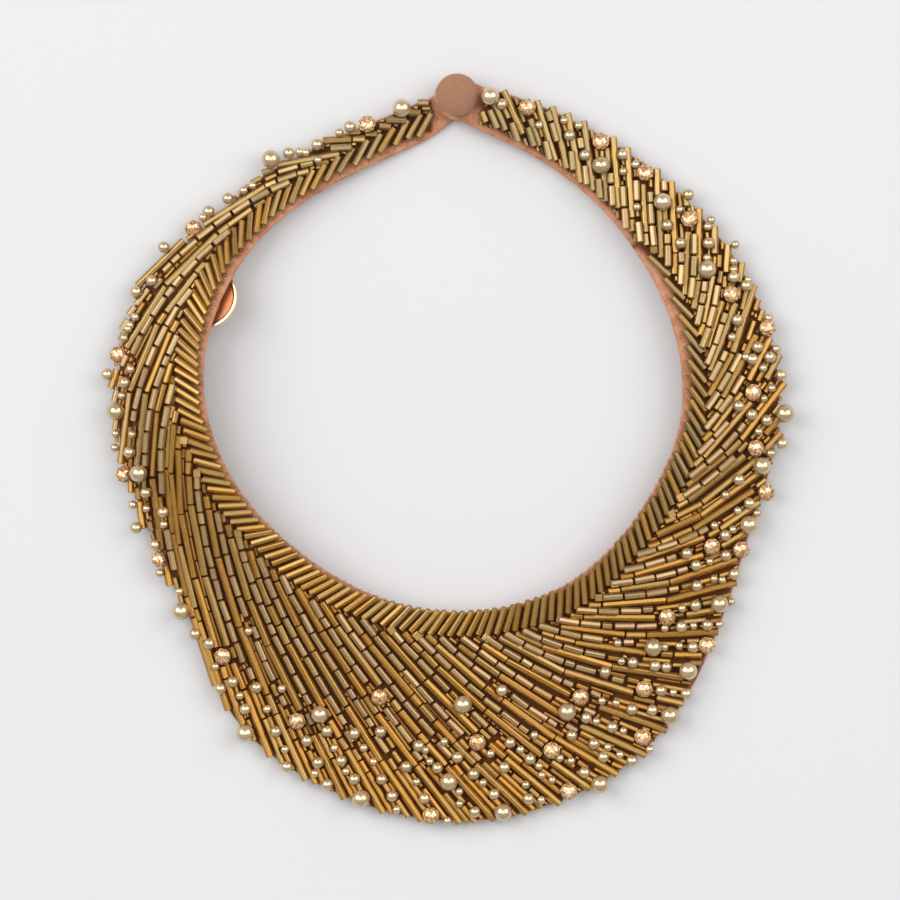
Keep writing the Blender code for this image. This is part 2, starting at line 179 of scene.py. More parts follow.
# %% The centre of the neck
BUTTON_BEARING = -2.8
BUTTON_REACH = 67.32 * MM
BUTTON_SHIFT = Vector((-0.3 * MM, 0.4 * MM, 0.0))
button_low, button_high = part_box("cover_button")
turn = math.radians(BUTTON_BEARING)
button_from_neck = BUTTON_REACH * Vector((-math.sin(turn), math.cos(turn), 0.0)) + BUTTON_SHIFT
neck = (button_low + button_high) / 2 - button_from_neck
neck.z = 0.0
print("neck centre:", [round(value / MM, 2) for value in neck])


def outward(bearing):
    turn = math.radians(bearing)
    return Vector((-math.sin(turn), math.cos(turn), 0.0))


def flat(bearing, radius):
    """The point at a bearing and radius, as seen from above."""
    return (neck + outward(bearing) * radius).xy


def seen_from_neck(spot):
    """The bearing and the radius of a point, as seen from above."""
    offset = spot.xy - neck.xy
    return math.degrees(math.atan2(-offset.x, offset.y)) % 360, offset.length


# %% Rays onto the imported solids
def tree_of(name):
    mesh = nodes[name].data
    return BVHTree.FromPolygons([vertex.co for vertex in mesh.vertices],
                                [face.vertices for face in mesh.polygons])


SKY = 0.1
DOWN = Vector((0.0, 0.0, -1.0))
suede_tree = tree_of("backing")
border_tree = tree_of("border_bugles")


def hit(tree, bearing, radius):
    start = neck + outward(bearing) * radius + Vector((0.0, 0.0, SKY))
    return tree.ray_cast(start, DOWN)


# %% Where the strip and its field start and end
FIRST_BEARING = 3
LAST_BEARING = 352
SCAN_START = 48 * MM
SCAN_STEP = 0.25 * MM
SCAN_COUNT = 290


def span(tree, bearing):
    radii = [SCAN_START + SCAN_STEP * k for k in range(SCAN_COUNT)]
    met = [radius for radius in radii if hit(tree, bearing, radius)[0] is not None]
    return met[0], met[-1]


BORDER_START = 6
BORDER_END = 300
FIELD_MARGIN = 1.3 * MM
# From the strip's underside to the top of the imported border.
BEAD_STACK = 3.5 * MM
INNER, OUTER = 0, 1
suede_spans = {b: span(suede_tree, b) for b in range(FIRST_BEARING, LAST_BEARING + 1)}
border_spans = {b: span(border_tree, b) for b in range(BORDER_START, BORDER_END + 1)}


def chart_read(chart, bearing, column=None):
    """A chart's value at a bearing, in a straight line between its rows."""
    keys = sorted(chart)
    bearing = min(max(bearing, keys[0]), keys[-1])
    k = min(bisect.bisect_right(keys, bearing), len(keys) - 1)
    low, high = keys[k - 1], keys[k]
    first, second = chart[low], chart[high]
    if column is not None:
        first, second = first[column], second[column]
    return first + (second - first) * (bearing - low) / (high - low)


def neck_edge(bearing):
    return chart_read(suede_spans, bearing, INNER)


def outer_edge(bearing):
    return chart_read(suede_spans, bearing, OUTER)


def tilt(bearing):
    """How far the suede's normal leans outwards, as a share, where the border ends."""
    return hit(suede_tree, bearing, chart_read(border_spans, bearing, OUTER))[1].dot(outward(bearing))


TILT_STEP = 6
tilts = {b: tilt(b) for b in range(BORDER_START, BORDER_END + 1, TILT_STEP)}


def ring(bearing):
    """Where the border ends, or past the border, where the field starts."""
    past = max(bearing - BORDER_END, 0.0) * MM
    end = chart_read(border_spans, bearing, OUTER) - BEAD_STACK * chart_read(tilts, bearing) - past
    return max(end, neck_edge(bearing) + FIELD_MARGIN)


print("bib depth at the front:", round((outer_edge(180) - neck_edge(180)) / MM, 1), "mm")


# %% A point over the suede
EDGE_GRIP = 1.2 * MM


def suede_at(bearing, radius):
    """The top of the suede and its normal, or those of its edge for a radius beyond it."""
    low, high = neck_edge(bearing) + EDGE_GRIP, outer_edge(bearing) - EDGE_GRIP
    held = min(max(radius, low), high)
    place, normal, _, _ = hit(suede_tree, bearing, held)
    return place + outward(bearing) * (radius - held), normal


def over_suede(bearing, radius, height):
    """The point at a height over the suede that is seen, from above, at this bearing and radius."""
    out = outward(bearing)
    _, normal = suede_at(bearing, radius)
    place, normal = suede_at(bearing, radius - normal.dot(out) * height)
    point = place + normal * height
    return point + out * (radius - (point - neck).dot(out))


print("suede at the front's edge lies", round(suede_at(180, outer_edge(180))[0].z / MM, 2), "mm high")

# %% [markdown]
# Modelling beads
#
# A bugle is a short glass tube, and most of these are cut: they have six flat sides, and the one
# that lies up shines like a ribbon. It starts as a cylinder of few sides, whose long edges are
# bevelled. Its ends are inset and sunk to make the hole, and its rims are bevelled too. It is
# modelled once at its stock length. A copy is laid between two points: its two halves slide apart
# or together first, so the rims never stretch. Each copy carries a tone between 0 and 1, an
# attribute that its material reads, as no two beads in a packet are quite alike; towards the nape
# and up the right side the tone also carries painted shade.

# %% Selecting by place and normal
# Places closer together than this, in metres, count as one.
TOUCH = 1e-6


def choose_faces(obj, test):
    bpy.ops.mesh.select_mode(type="FACE")
    bpy.ops.mesh.select_all(action="DESELECT")
    shape = bmesh.from_edit_mesh(obj.data)
    for face in shape.faces:
        face.select_set(test(face.calc_center_median(), face.normal))
    bmesh.update_edit_mesh(obj.data)


def choose_edges(obj, test):
    bpy.ops.mesh.select_mode(type="EDGE")
    bpy.ops.mesh.select_all(action="DESELECT")
    shape = bmesh.from_edit_mesh(obj.data)
    for edge in shape.edges:
        edge.select_set(test(edge.verts[0].co, edge.verts[1].co))
    bmesh.update_edit_mesh(obj.data)


# %% One bugle bead
BUGLE_MODEL_LENGTH = 5 * MM
HOLE_DEPTH = 0.9 * MM
# Shares of a bead's radius.
GLASS_WALL = 0.42
HOLE_SLOPE = 0.1
SIDE_BEVEL = 0.16
RIM_BEVEL = 0.12
RIM_START = 0.8
# Edges sharper than this, in degrees, stay sharp on a cut bead and on a plain one.
CUT_SHARP, PLAIN_SHARP = 25, 42


def model_bugle(name, sides, radius, material, cut=True):
    """A glass tube along Z. A cut bugle has flat sides with narrow bevels between them."""
    pick_nothing()
    bpy.ops.mesh.primitive_cylinder_add(vertices=sides, radius=radius, depth=BUGLE_MODEL_LENGTH)
    bugle = bpy.context.object
    bugle.name = name
    end = BUGLE_MODEL_LENGTH / 2
    bpy.ops.object.mode_set(mode="EDIT")
    if cut:
        choose_edges(bugle, lambda a, b: abs(a.z - b.z) > end)
        bpy.ops.mesh.bevel(offset=radius * SIDE_BEVEL, segments=1)
    choose_faces(bugle, lambda centre, normal: abs(normal.z) > 0.9)
    bpy.ops.mesh.inset(thickness=radius * GLASS_WALL, use_individual=True)
    bpy.ops.mesh.inset(thickness=radius * HOLE_SLOPE, depth=-HOLE_DEPTH, use_individual=True)

    def on_rim(a, b):
        level = abs(abs(a.z) - end) < TOUCH and abs(a.z - b.z) < TOUCH
        return level and min(a.xy.length, b.xy.length) > radius * RIM_START

    choose_edges(bugle, on_rim)
    bpy.ops.mesh.bevel(offset=radius * RIM_BEVEL, segments=1)
    bpy.ops.object.mode_set(mode="OBJECT")
    bpy.ops.object.shade_smooth_by_angle(angle=math.radians(CUT_SHARP if cut else PLAIN_SHARP))
    bugle.data.materials.append(material)
    print(name, "has", len(bugle.data.polygons), "faces")
    return bugle


# %% Laying copies and joining them
def tone_and_nape_shade(bearing, dice):
    """A bead's tone: warm and golden at the front, darker and more olive towards the nape, partly the
    beads' own tint and partly painted shade.
    """
    nape = abs(bearing - 180) / 180
    return min(max(0.25 + 0.65 * nape ** 1.5 + dice.uniform(-0.2, 0.3), 0.0), 1.0)


def border_tone_and_shade(bearing, dice):
    """The border's tone: it turns khaki up the right side and at the nape, partly its own tint and
    partly painted shade.
    """
    side = (bearing - 190) / 60 if bearing > 190 else (75 - bearing) / 50
    return min(max(0.3 + 0.6 * min(max(side, 0.0), 1.0) + dice.uniform(-0.25, 0.25), 0.0), 1.0)


def mark(mesh, tone):
    """Gives a mesh the tone that its material reads."""
    layer = mesh.attributes.new("tone", "FLOAT", "POINT")
    layer.data.foreach_set("value", [tone] * len(mesh.vertices))


def add_copy(mesh, matrix, tone):
    mesh.transform(matrix)
    mark(mesh, tone)
    return add_object("copy", mesh)


def stand(place, direction):
    """The matrix that puts what was modelled along Z at a place, along a direction."""
    return Matrix.Translation(place) @ direction.to_track_quat("Z", "Y").to_matrix().to_4x4()


FLAT_UP = math.pi / 6
ROLL_PLAY = 0.28


def facet_up(dice):
    """The turn that brings a flat side of a six-sided bead up, give or take a little."""
    return FLAT_UP + dice.uniform(-ROLL_PLAY, ROLL_PLAY)


def lay_bugle(model, start, end, tone, roll):
    """A copy of a bugle from one point to another."""
    mesh = model.data.copy()
    axis = end - start
    slide = (axis.length - BUGLE_MODEL_LENGTH) / 2
    for vertex in mesh.vertices:
        vertex.co.z += math.copysign(1.0, vertex.co.z) * slide
    return add_copy(mesh, stand((start + end) / 2, axis) @ Matrix.Rotation(roll, 4, "Z"), tone)


def join_copies(name, copies, *models):
    """Joins the copies into one piece and takes the models away."""
    pick_nothing()
    for copy in copies:
        copy.select_set(True)
    bpy.context.view_layer.objects.active = copies[0]
    bpy.ops.object.join()
    piece = bpy.context.object
    piece.name = name
    piece.data.name = name
    for model in models:
        bpy.data.objects.remove(model)
    print(name, "joins", len(copies), "copies,", len(piece.data.polygons), "faces")
    return piece


def dress(piece, slot, *replaced):
    """The piece rides on the necklace and stands for its solids. The slot is not used."""
    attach(piece, "root")
    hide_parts(*replaced)


# %% [markdown]
# Glass and metal finishes
#
# Silver-lined bugles look like satin metal under a thin gloss: the lining reflects, and the glass
# over it tints. One recipe makes them all. A ramp turns each bead's tone into its tint, which is
# partly its own and, towards the nape, partly painted shade; fine noise makes the lining uneven,
# and a clear coat lies on top.

# %% Nodes that the finishes share
def add_attribute(tree, name):
    """The value that each point or face of a mesh carries under a name."""
    node = tree.nodes.new("ShaderNodeAttribute")
    node.attribute_name = name
    return node.outputs["Fac"]


def add_noise(tree, scale, detail=2.0):
    """Noise on the piece's own coordinates."""
    place = tree.nodes.new("ShaderNodeTexCoord")
    noise = tree.nodes.new("ShaderNodeTexNoise")
    noise.inputs["Scale"].default_value = scale
    noise.inputs["Detail"].default_value = detail
    tree.links.new(place.outputs["Object"], noise.inputs["Vector"])
    return noise.outputs["Fac"]


def add_ramp(tree, value, stops):
    """Colours at places between 0 and 1, picked by a value."""
    ramp = tree.nodes.new("ShaderNodeValToRGB")
    elements = ramp.color_ramp.elements
    elements[0].position, elements[0].color = stops[0]
    elements[1].position, elements[1].color = stops[-1]
    for place, colour in stops[1:-1]:
        elements.new(place).color = colour
    tree.links.new(value, ramp.inputs["Fac"])
    return ramp.outputs["Color"]


def add_range(tree, value, low, high):
    """A value between 0 and 1, stretched to a range."""
    node = tree.nodes.new("ShaderNodeMapRange")
    node.inputs["To Min"].default_value = low
    node.inputs["To Max"].default_value = high
    tree.links.new(value, node.inputs["Value"])
    return node.outputs["Result"]


def add_bump(tree, shader, height, strength, distance):
    """Fine relief on a shader's surface."""
    bump = tree.nodes.new("ShaderNodeBump")
    bump.inputs["Strength"].default_value = strength
    bump.inputs["Distance"].default_value = distance
    tree.links.new(height, bump.inputs["Height"])
    tree.links.new(bump.outputs["Normal"], shader.inputs["Normal"])


# %% The recipe for lined glass
SMOOTHER, ROUGHER = 0.08, 0.10
COAT_ROUGHNESS = 0.12


def tinted(name, tints, roughness, metallic, coat, grain=1400.0, mottle=0.12):
    """A lined bead finish whose tint runs through the given colours with the bead's tone."""
    made, tree, shader = plain_material(name, tints[0], roughness, metallic)
    stops = [(k / (len(tints) - 1), tint) for k, tint in enumerate(tints)]
    tint = add_ramp(tree, add_attribute(tree, "tone"), stops)
    lining = add_noise(tree, grain, 3.0)
    mottled = tree.nodes.new("ShaderNodeMix")
    mottled.data_type = "RGBA"
    mottled.blend_type = "MULTIPLY"
    mottled.inputs["Factor"].default_value = 1.0
    tree.links.new(tint, mottled.inputs["A"])
    tree.links.new(add_range(tree, lining, 1.0 - mottle * 2, 1.0 + mottle), mottled.inputs["B"])
    tree.links.new(mottled.outputs["Result"], shader.inputs["Base Color"])
    rough = add_range(tree, lining, roughness - SMOOTHER, roughness + ROUGHER)
    tree.links.new(rough, shader.inputs["Roughness"])
    shader.inputs["Coat Weight"].default_value = coat
    shader.inputs["Coat Roughness"].default_value = COAT_ROUGHNESS
    return made


# %% The gold of the beads
AMBER = shade(186, 134, 60)
DEEP_GOLD = shade(176, 132, 64)
ANTIQUE_GOLD = shade(176, 144, 88)
OLIVE_GOLD = shade(154, 130, 86)
KHAKI = shade(146, 122, 80)
# A darker brown-gold for the thin bars: partly their own tint, partly painted shade, as they lie low
# between the others.
SHADED_BROWN_GOLD = shade(150, 98, 46)
CHAMPAGNE = shade(186, 158, 110)
ROSE_CHAMPAGNE = shade(180, 148, 110)
OLIVE_GREY = shade(146, 128, 88)

bar_finish = tinted("long_bar_gold", [AMBER, DEEP_GOLD, ANTIQUE_GOLD, OLIVE_GOLD], 0.35, 0.85, 0.12)
cut_finish = tinted("cut_bugle_champagne", [ANTIQUE_GOLD, ROSE_CHAMPAGNE, CHAMPAGNE, OLIVE_GREY],
                    0.36, 0.85, 0.12)
# The thin bars' darkest tint is partly painted shade.
thin_finish = tinted("thin_bar_gold", [SHADED_BROWN_GOLD, DEEP_GOLD, OLIVE_GOLD], 0.36, 0.85, 0.1)
border_finish = tinted("border_gold", [ANTIQUE_GOLD, DEEP_GOLD, KHAKI], 0.38, 0.85, 0.12)
print("finishes:", [made.name for made in (bar_finish, cut_finish, thin_finish, border_finish)])

# %% [markdown]
# The border
#
# The collar's neck edge is finished with single bugles laid slantwise side by side, like the
# barbs of a feather. Each starts on the line where the field begins and reaches back towards the
# neck. The lean changes round the collar, so it is read from a short chart, with the leans of the
# field's rows.

# %% The chart of leans
# Degrees off the outward direction: of the border bugles, and of the rows at the border and the edge.
LEANS = {
    3: (-33, 86, 86), 8: (-38, 82, 80), 15: (-46, 74, 70), 22: (-54, 70, 67), 30: (-62, 67, 64),
    45: (-60, 72, 69), 60: (-56, 71, 67), 75: (-42, 69, 62), 90: (-34, 68, 69),
    105: (-36, 68, 73), 120: (-33, 67, 71), 135: (-28, 62, 61), 150: (-31, 61, 50),
    165: (-34, 55, 40), 180: (-33, 48, 37), 195: (-26, 46, 37), 210: (-27, 58, 40),
    225: (-29, 60, 50), 240: (-38, 58, 62), 255: (-42, 63, 60), 270: (-51, 63, 61),
    285: (-61, 66, 65), 300: (-71, 65, 63), 307: (-73, 58, 55), 315: (-73, 50, 46),
    330: (-73, 42, 42), 345: (-73, 38, 42), 353: (-73, 30, 30),
}
BORDER, ROW_START, ROW_END = 0, 1, 2


def lean(bearing, column):
    return math.radians(chart_read(LEANS, bearing, column))


print("rows of the chart of leans:", len(LEANS))


# %% Sewing the border
BORDER_BUGLE_LENGTH = 7 * MM
BORDER_BUGLE_RADIUS = 0.95 * MM
BORDER_PITCH = 2.08 * MM
BORDER_FIRST = 3.2
BORDER_LAST = 303.0
BORDER_SETBACK = 0.1 * MM
BORDER_STEP = 0.1
SLANT_PLAY = 2.5
SEWN_GAP = 0.25 * MM
NECK_MARGIN = 0.3 * MM

dice = random.Random(11)
border_model = model_bugle("border_bugle", 6, BORDER_BUGLE_RADIUS, border_finish)
border_height = SEWN_GAP + BORDER_BUGLE_RADIUS
border_copies = []
border_ends = []


def border_bead(bearing, slant):
    """Both ends of a border bugle, as bearing and radius, from the neck side to the field side."""
    outer = ring(bearing) - BORDER_SETBACK
    room_left = outer - neck_edge(bearing) - NECK_MARGIN
    length = min(BORDER_BUGLE_LENGTH, room_left / math.cos(slant))
    inner = outer - length * math.cos(slant)
    inner_bearing = bearing + math.degrees(length * math.sin(slant) / inner)
    return (inner_bearing, max(inner, neck_edge(inner_bearing) + NECK_MARGIN)), (bearing, outer)


bearing = BORDER_FIRST
last = None
while bearing < BORDER_LAST:
    slant = -lean(bearing, BORDER)
    tail, head = border_bead(bearing, slant)
    axis = (flat(*head) - flat(*tail)).normalized()
    if last is None or abs(axis.cross(flat(*head) - last)) >= BORDER_PITCH:
        last = flat(*head)
        tail, head = border_bead(bearing, slant + math.radians(dice.uniform(-SLANT_PLAY, SLANT_PLAY)))
        ends = over_suede(*tail, border_height), over_suede(*head, border_height)
        tone = border_tone_and_shade(bearing, dice)
        border_copies.append(lay_bugle(border_model, *ends, tone, facet_up(dice)))
        border_ends.append(tail)
    bearing += BORDER_STEP
border = join_copies("border_beads", border_copies, border_model)
dress(border, "gold_beads", "border_bugles")

# %% [markdown]
# The rows of the field
#
# Outside the border the beads follow curved rows that leave the border aslant and sweep out to the
# edge, closer together at the border and fanned apart at the front. What the eye reads best is
# where the rows of long bars end, so their tips are charted and each row is traced back inwards,
# like the wake of a boat: at each half millimetre it steers by the lean charted there. Between two
# rows of long bars runs one of short cut bugles, and slimmer bars fill in where the fan opens.

# %% The chart of tips
# Bearings at which the rows of long bars end at the outer edge, from the front to the right end.
TIPS = [
    144.4, 147.9, 151.7, 156, 161.5, 167, 172.1, 177.1, 181.9, 186.2, 190.3, 194.8, 199, 202.9,
    207.3, 211.3, 215.2, 218.8, 222.2, 225.7, 229.4, 233.3, 237.5, 242, 246.7, 250.8, 254.6,
    258.6, 262.6, 267, 271.7, 276, 280, 284.5, 289, 293, 297.2, 301.5, 305.3, 309, 312.8, 316.5,
    320.1, 323.6, 327.1, 330.6, 334.1, 337.6, 341.1, 344.6, 348.1, 351.6, 355, 358.3, 361.6, 364.9,
]
# How far the tips reach over the cut edge, in millimetres, by bearing.
OVERHANG = {3: 0.0, 30: 0.8, 42: 2.4, 52: 2.2, 60: 1.7, 75: 2.1, 85: 3.0, 100: 2.6, 112: 2.3,
            118: 2.0, 128: 1.1, 140: -0.3, 148: -0.4, 156: 0.0, 200: 0.0, 208: 0.8, 216: -0.3,
            224: -0.2, 235: 0.2, 250: -0.3, 262: 1.4, 280: 0.5, 290: 0.3, 305: 0.7, 330: 0.9,
            353: 0.4}


def field_end(bearing):
    return outer_edge(bearing) + chart_read(OVERHANG, bearing) * MM


# The millimetres of overhang that leave the suede's edge where it is.
LOOSE_OVERHANG = 0.9


def drawn_out(bearing):
    """How far the sewing draws the suede's edge outwards under the bars that hang over it."""
    return max(chart_read(OVERHANG, bearing) - LOOSE_OVERHANG, 0.0) * MM


print("charted tips:", len(TIPS))


# %% Tracing a row
TRACE_STEP = 0.5 * MM
TRACE_LIMIT = 200


def trace(tip):
    """The bearings and radii along a row, from the border to its tip at a bearing on the edge."""
    bearing, radius = tip, field_end(tip)
    path = []
    for _ in range(TRACE_LIMIT):
        start, end = ring(bearing), field_end(bearing)
        if radius < start or bearing < FIRST_BEARING:
            break
        path.append((bearing, radius))
        share = min((radius - start) / (end - start), 1.0)
        slant = lean(bearing, ROW_START) * (1 - share) + lean(bearing, ROW_END) * share
        bearing -= math.degrees(math.sin(slant) * TRACE_STEP / radius)
        radius -= math.cos(slant) * TRACE_STEP
    return path[::-1]


# %% All the rows
# Left of the charted tips the rows follow one another at an even pitch. Each new row's tip is
# moved back along the edge until the whole row keeps clear of the last one.
PAIR_PITCH = 3.45 * MM
TIP_SEARCH = 0.4
SPOT_STRIDE = 5
FIRST_TIP = 6.0


def nearest_on(paths, spot):
    """The shortest flat vector to a spot from any of the paths."""
    return min((spot - point for path in paths for point in path), key=lambda away: away.length)


def row_before(tip, row):
    """The tip of the row that runs one pitch to the left of a row."""
    line = [flat(b, r) for b, r in row]
    while tip > FIRST_TIP:
        tip -= TIP_SEARCH
        spots = [flat(b, r) for b, r in trace(tip)[::SPOT_STRIDE]]
        if spots and min(nearest_on([line], spot).length for spot in spots) > PAIR_PITCH:
            break
    return tip


tips = list(TIPS)
while tips[0] > FIRST_TIP:
    tips.insert(0, row_before(tips[0], trace(tips[0])))
bar_paths = [trace(tip) for tip in tips]
cut_paths = [trace((first + second) / 2) for first, second in zip(tips, tips[1:])]
print("rows of long bars:", len(bar_paths))

# %% [markdown]
# Pearls and stones
#
# Pearls sit where the bead worker wanted them, so their places are charted: a bearing in
# degrees and a distance from the neck's centre in millimetres. The stones' places come from the
# frame. A pearl that would sit on a long bar is nudged into the groove beside it, and the bugles
# of a groove leave room for what sits there.

# %% The charts of pearls
LARGE_PEARLS = [
    (9.5, 65.2), (40.4, 67.5), (98.1, 83.5), (109.4, 81.2), (133.3, 90.5), (151.5, 104.8),
    (160.2, 92.8), (169.0, 110.5), (180.5, 104.2), (183.0, 85.0), (187.4, 112.8), (199.4, 91.9),
    (200.3, 111.8), (212.7, 104.2), (216.4, 87.7), (218.5, 97.7), (229.0, 91.0), (242.2, 85.9),
    (252.4, 83.2), (261.8, 85.9), (289.8, 69.7), (306.7, 68.0), (321.8, 63.4), (350.6, 68.1),
]
MEDIUM_PEARLS = [
    (21.6, 64.2), (30.4, 63.8), (37.0, 64.5), (52.3, 70.0), (57.8, 69.4), (67.8, 76.0),
    (73.8, 77.0), (77.2, 79.4), (91.9, 83.5), (93.4, 79.9), (105.5, 81.9), (113.0, 82.7),
    (117.5, 85.7), (117.2, 80.3), (121.5, 83.8), (137.3, 90.0), (139.5, 92.8), (144.3, 98.5),
    (146.3, 94.8), (149.6, 100.4), (150.4, 92.7), (155.3, 100.7), (158.5, 108.0), (159.9, 99.9),
    (162.4, 104.2), (164.3, 109.0), (162.7, 95.3), (165.3, 102.3), (167.8, 105.7), (166.6, 94.2),
    (170.3, 92.5), (171.3, 104.8), (173.0, 108.6), (174.6, 100.7), (177.3, 108.5), (176.5, 94.7),
    (179.3, 100.0), (183.8, 112.0), (184.2, 102.2), (181.9, 98.0), (186.6, 107.9), (188.4, 101.7),
    (189.8, 95.8), (192.2, 100.8), (190.9, 110.5), (198.9, 107.7), (198.9, 97.9), (201.5, 101.8),
    (202.0, 105.7), (205.3, 109.5), (204.8, 99.8), (201.8, 95.0), (208.5, 98.0), (211.0, 100.7),
    (216.3, 102.0), (213.6, 97.7), (216.1, 93.8), (214.3, 92.3), (211.9, 89.2), (208.5, 86.0),
    (189.2, 83.5), (221.3, 94.0), (221.8, 88.8), (225.2, 92.5), (225.9, 87.3), (228.6, 84.0),
    (234.1, 89.3), (235.9, 84.8), (231.5, 80.0), (238.9, 81.5), (232.4, 75.8), (245.9, 83.0),
    (248.5, 79.4), (257.2, 85.7), (259.5, 82.9), (260.4, 78.4), (267.8, 84.4), (261.9, 74.3),
    (271.4, 81.2), (270.9, 75.3), (274.4, 77.5), (278.5, 74.5), (284.4, 78.4), (287.0, 74.4),
    (294.9, 72.2), (296.8, 67.1), (304.1, 73.0), (302.7, 64.8), (320.8, 68.3), (326.8, 62.4),
    (332.6, 64.5), (346.9, 67.2),
]
SMALL_PEARLS = [
    (24.4, 64.2), (32.5, 61.8), (34.2, 65.0), (34.5, 63.0), (46.9, 66.8), (48.9, 67.9),
    (59.8, 70.0), (80.7, 80.2), (83.3, 81.2), (83.3, 78.4), (86.1, 79.5), (95.6, 81.2),
    (90.9, 77.4), (101.8, 84.6), (104.1, 85.0), (102.6, 79.6), (114.2, 84.4), (115.6, 83.9),
    (119.5, 81.8), (126.5, 87.4), (130.7, 86.8), (142.0, 95.4), (148.0, 97.4), (143.5, 82.7),
    (153.0, 96.3), (153.4, 90.1), (157.4, 104.1), (162.3, 107.2), (163.9, 99.7), (166.3, 104.6),
    (168.0, 97.9), (170.2, 100.2), (173.8, 111.8), (176.1, 104.5), (177.8, 99.2), (177.9, 96.3),
    (180.3, 114.0), (181.9, 109.8), (182.1, 106.5), (185.2, 104.9), (180.6, 93.5), (187.0, 97.0),
    (191.1, 98.0), (193.2, 103.0), (193.3, 105.4), (190.9, 106.9), (192.5, 111.4), (194.5, 107.2),
    (196.3, 102.4), (197.7, 103.9), (193.6, 95.2), (203.1, 103.9), (204.2, 106.8), (206.0, 101.8),
    (203.0, 96.8), (205.0, 92.8), (206.9, 94.7), (208.9, 108.1), (214.9, 99.8), (210.3, 87.0),
    (211.4, 82.5), (217.8, 89.5), (219.8, 91.5), (223.6, 90.1), (226.6, 94.4), (219.7, 86.0),
    (224.0, 85.4), (230.5, 92.9), (231.5, 85.9), (232.0, 88.4), (233.4, 82.4), (239.5, 77.5),
    (244.6, 86.4), (240.3, 82.8), (244.0, 80.7), (245.4, 76.5), (254.3, 85.0), (255.5, 83.7),
    (257.7, 80.7), (264.0, 80.1), (265.9, 81.9), (269.5, 79.4), (272.9, 82.8), (272.5, 76.0),
    (278.3, 81.0), (275.4, 72.2), (285.6, 78.8), (288.4, 75.7), (290.4, 75.9), (292.8, 77.7),
    (292.1, 70.9), (297.7, 74.3), (298.2, 75.9), (301.9, 71.9), (303.4, 70.5), (308.9, 62.8),
    (316.0, 70.0), (318.2, 65.1), (331.3, 68.4), (335.4, 67.5), (338.1, 65.3),
]
print("pearls:", len(LARGE_PEARLS), "large,", len(MEDIUM_PEARLS), "medium,", len(SMALL_PEARLS), "small")


# %% Nudging pearls off the bars
BAR_RADIUS = 1.05 * MM
BAR_HEIGHT = SEWN_GAP + BAR_RADIUS
LARGE, MEDIUM, SMALL = 2.28 * MM, 1.5 * MM, 1.1 * MM
# Thin bars run under the pearls, which lifts them off the suede, some a little more than others.
PEARL_LIFT = 1.0 * MM
LIFT_PLAY = 1.3
# How far a pearl keeps from a bar's axis, as a share of its radius past the bar's side.
GROOVE_SHARE = 0.62
EDGE_SHARE = 0.6


def rest_on(distance, radius):
    """How much higher than a bar's axis a bead lies that leans on the bar at this distance."""
    return math.sqrt(max((radius + BAR_RADIUS) ** 2 - distance ** 2, 0.0))


flat_bars = [[flat(b, r) for b, r in path] for path in bar_paths]


def seat_pearls(chart, radius):
    """Each pearl's bearing, distance, height over the suede and radius."""
    seats = []
    clear = BAR_RADIUS + radius * GROOVE_SHARE
    for bearing, reach in chart:
        spot = flat(bearing, reach * MM)
        away = nearest_on(flat_bars, spot)
        if radius < LARGE and away.length < clear:
            spot = spot - away + away.normalized() * clear
            away = away.normalized() * clear
        touch = BAR_RADIUS + radius * EDGE_SHARE
        if reach * MM > outer_edge(bearing) and away.length > touch:
            spot = spot - away + away.normalized() * touch
            away = away.normalized() * touch
        lift = BAR_HEIGHT + rest_on(away.length, radius)
        height = max(radius + PEARL_LIFT, min(lift, radius + PEARL_LIFT * LIFT_PLAY))
        seats.append((*seen_from_neck(spot), height, radius))
    return seats


seats = (seat_pearls(LARGE_PEARLS, LARGE) + seat_pearls(MEDIUM_PEARLS, MEDIUM)
         + seat_pearls(SMALL_PEARLS, SMALL))

# %% [markdown]
# One pearl, copied
#
# A glass pearl is a ball with a hole drilled through it for the thread. It starts as a sphere, the
# fans of triangles at its poles are dissolved to two small faces, and these are inset and sunk. A
# few dozen faces are enough, as smooth shading rounds them.


# %% One pearl
def model_pearl(name, segments, rings, material):
    """A drilled ball of radius 1, with its hole along Z."""
    pick_nothing()
    bpy.ops.mesh.primitive_uv_sphere_add(segments=segments, ring_count=rings, radius=1.0)
    pearl = bpy.context.object
    pearl.name = name
    bpy.ops.object.mode_set(mode="EDIT")
    choose_faces(pearl, lambda centre, normal: abs(centre.z) > math.cos(math.pi / rings))
    bpy.ops.mesh.dissolve_faces()
    choose_faces(pearl, lambda centre, normal: abs(normal.z) > 0.99)
    bpy.ops.mesh.inset(thickness=0.1, use_individual=True)
    bpy.ops.mesh.inset(thickness=0.03, depth=-0.3, use_individual=True)
    bpy.ops.object.mode_set(mode="OBJECT")
    bpy.ops.object.shade_smooth_by_angle(angle=math.radians(50))
    pearl.data.materials.append(material)
    print(name, "has", len(pearl.data.polygons), "faces")
    return pearl


pearl_finish = tinted("glass_pearl", [shade(200, 176, 140), shade(216, 194, 160)], 0.2, 0.75, 0.4,
                      grain=900.0, mottle=0.05)

# %% Setting the pearls
dice = random.Random(23)
fine_pearl = model_pearl("fine_pearl", 24, 14, pearl_finish)
plain_pearl = model_pearl("plain_pearl", 12, 8, pearl_finish)
pearl_copies = []
for bearing, reach, height, radius in seats:
    model = fine_pearl if radius == LARGE else plain_pearl
    turn = Matrix.Rotation(dice.uniform(0, math.tau), 4, "Z") @ Matrix.Rotation(math.pi / 2, 4, "X")
    size = Matrix.Scale(radius * dice.uniform(0.97, 1.03), 4)
    matrix = Matrix.Translation(over_suede(bearing, reach, height)) @ turn @ size
    pearl_copies.append(add_copy(model.data.copy(), matrix, dice.random()))
pearls = join_copies("pearls", pearl_copies, fine_pearl, plain_pearl)
dress(pearls, "gold_beads", "bead_field")

# %% [markdown]
# Filling the rows with bugles
#
# Along each row some stretches are free and some are taken by a stone or a pearl. The free ones
# are filled with the longest beads that fit, as a bead worker would. Long bars start from the
# edge, so that their tips step along the outline. Short bugles start at the border.


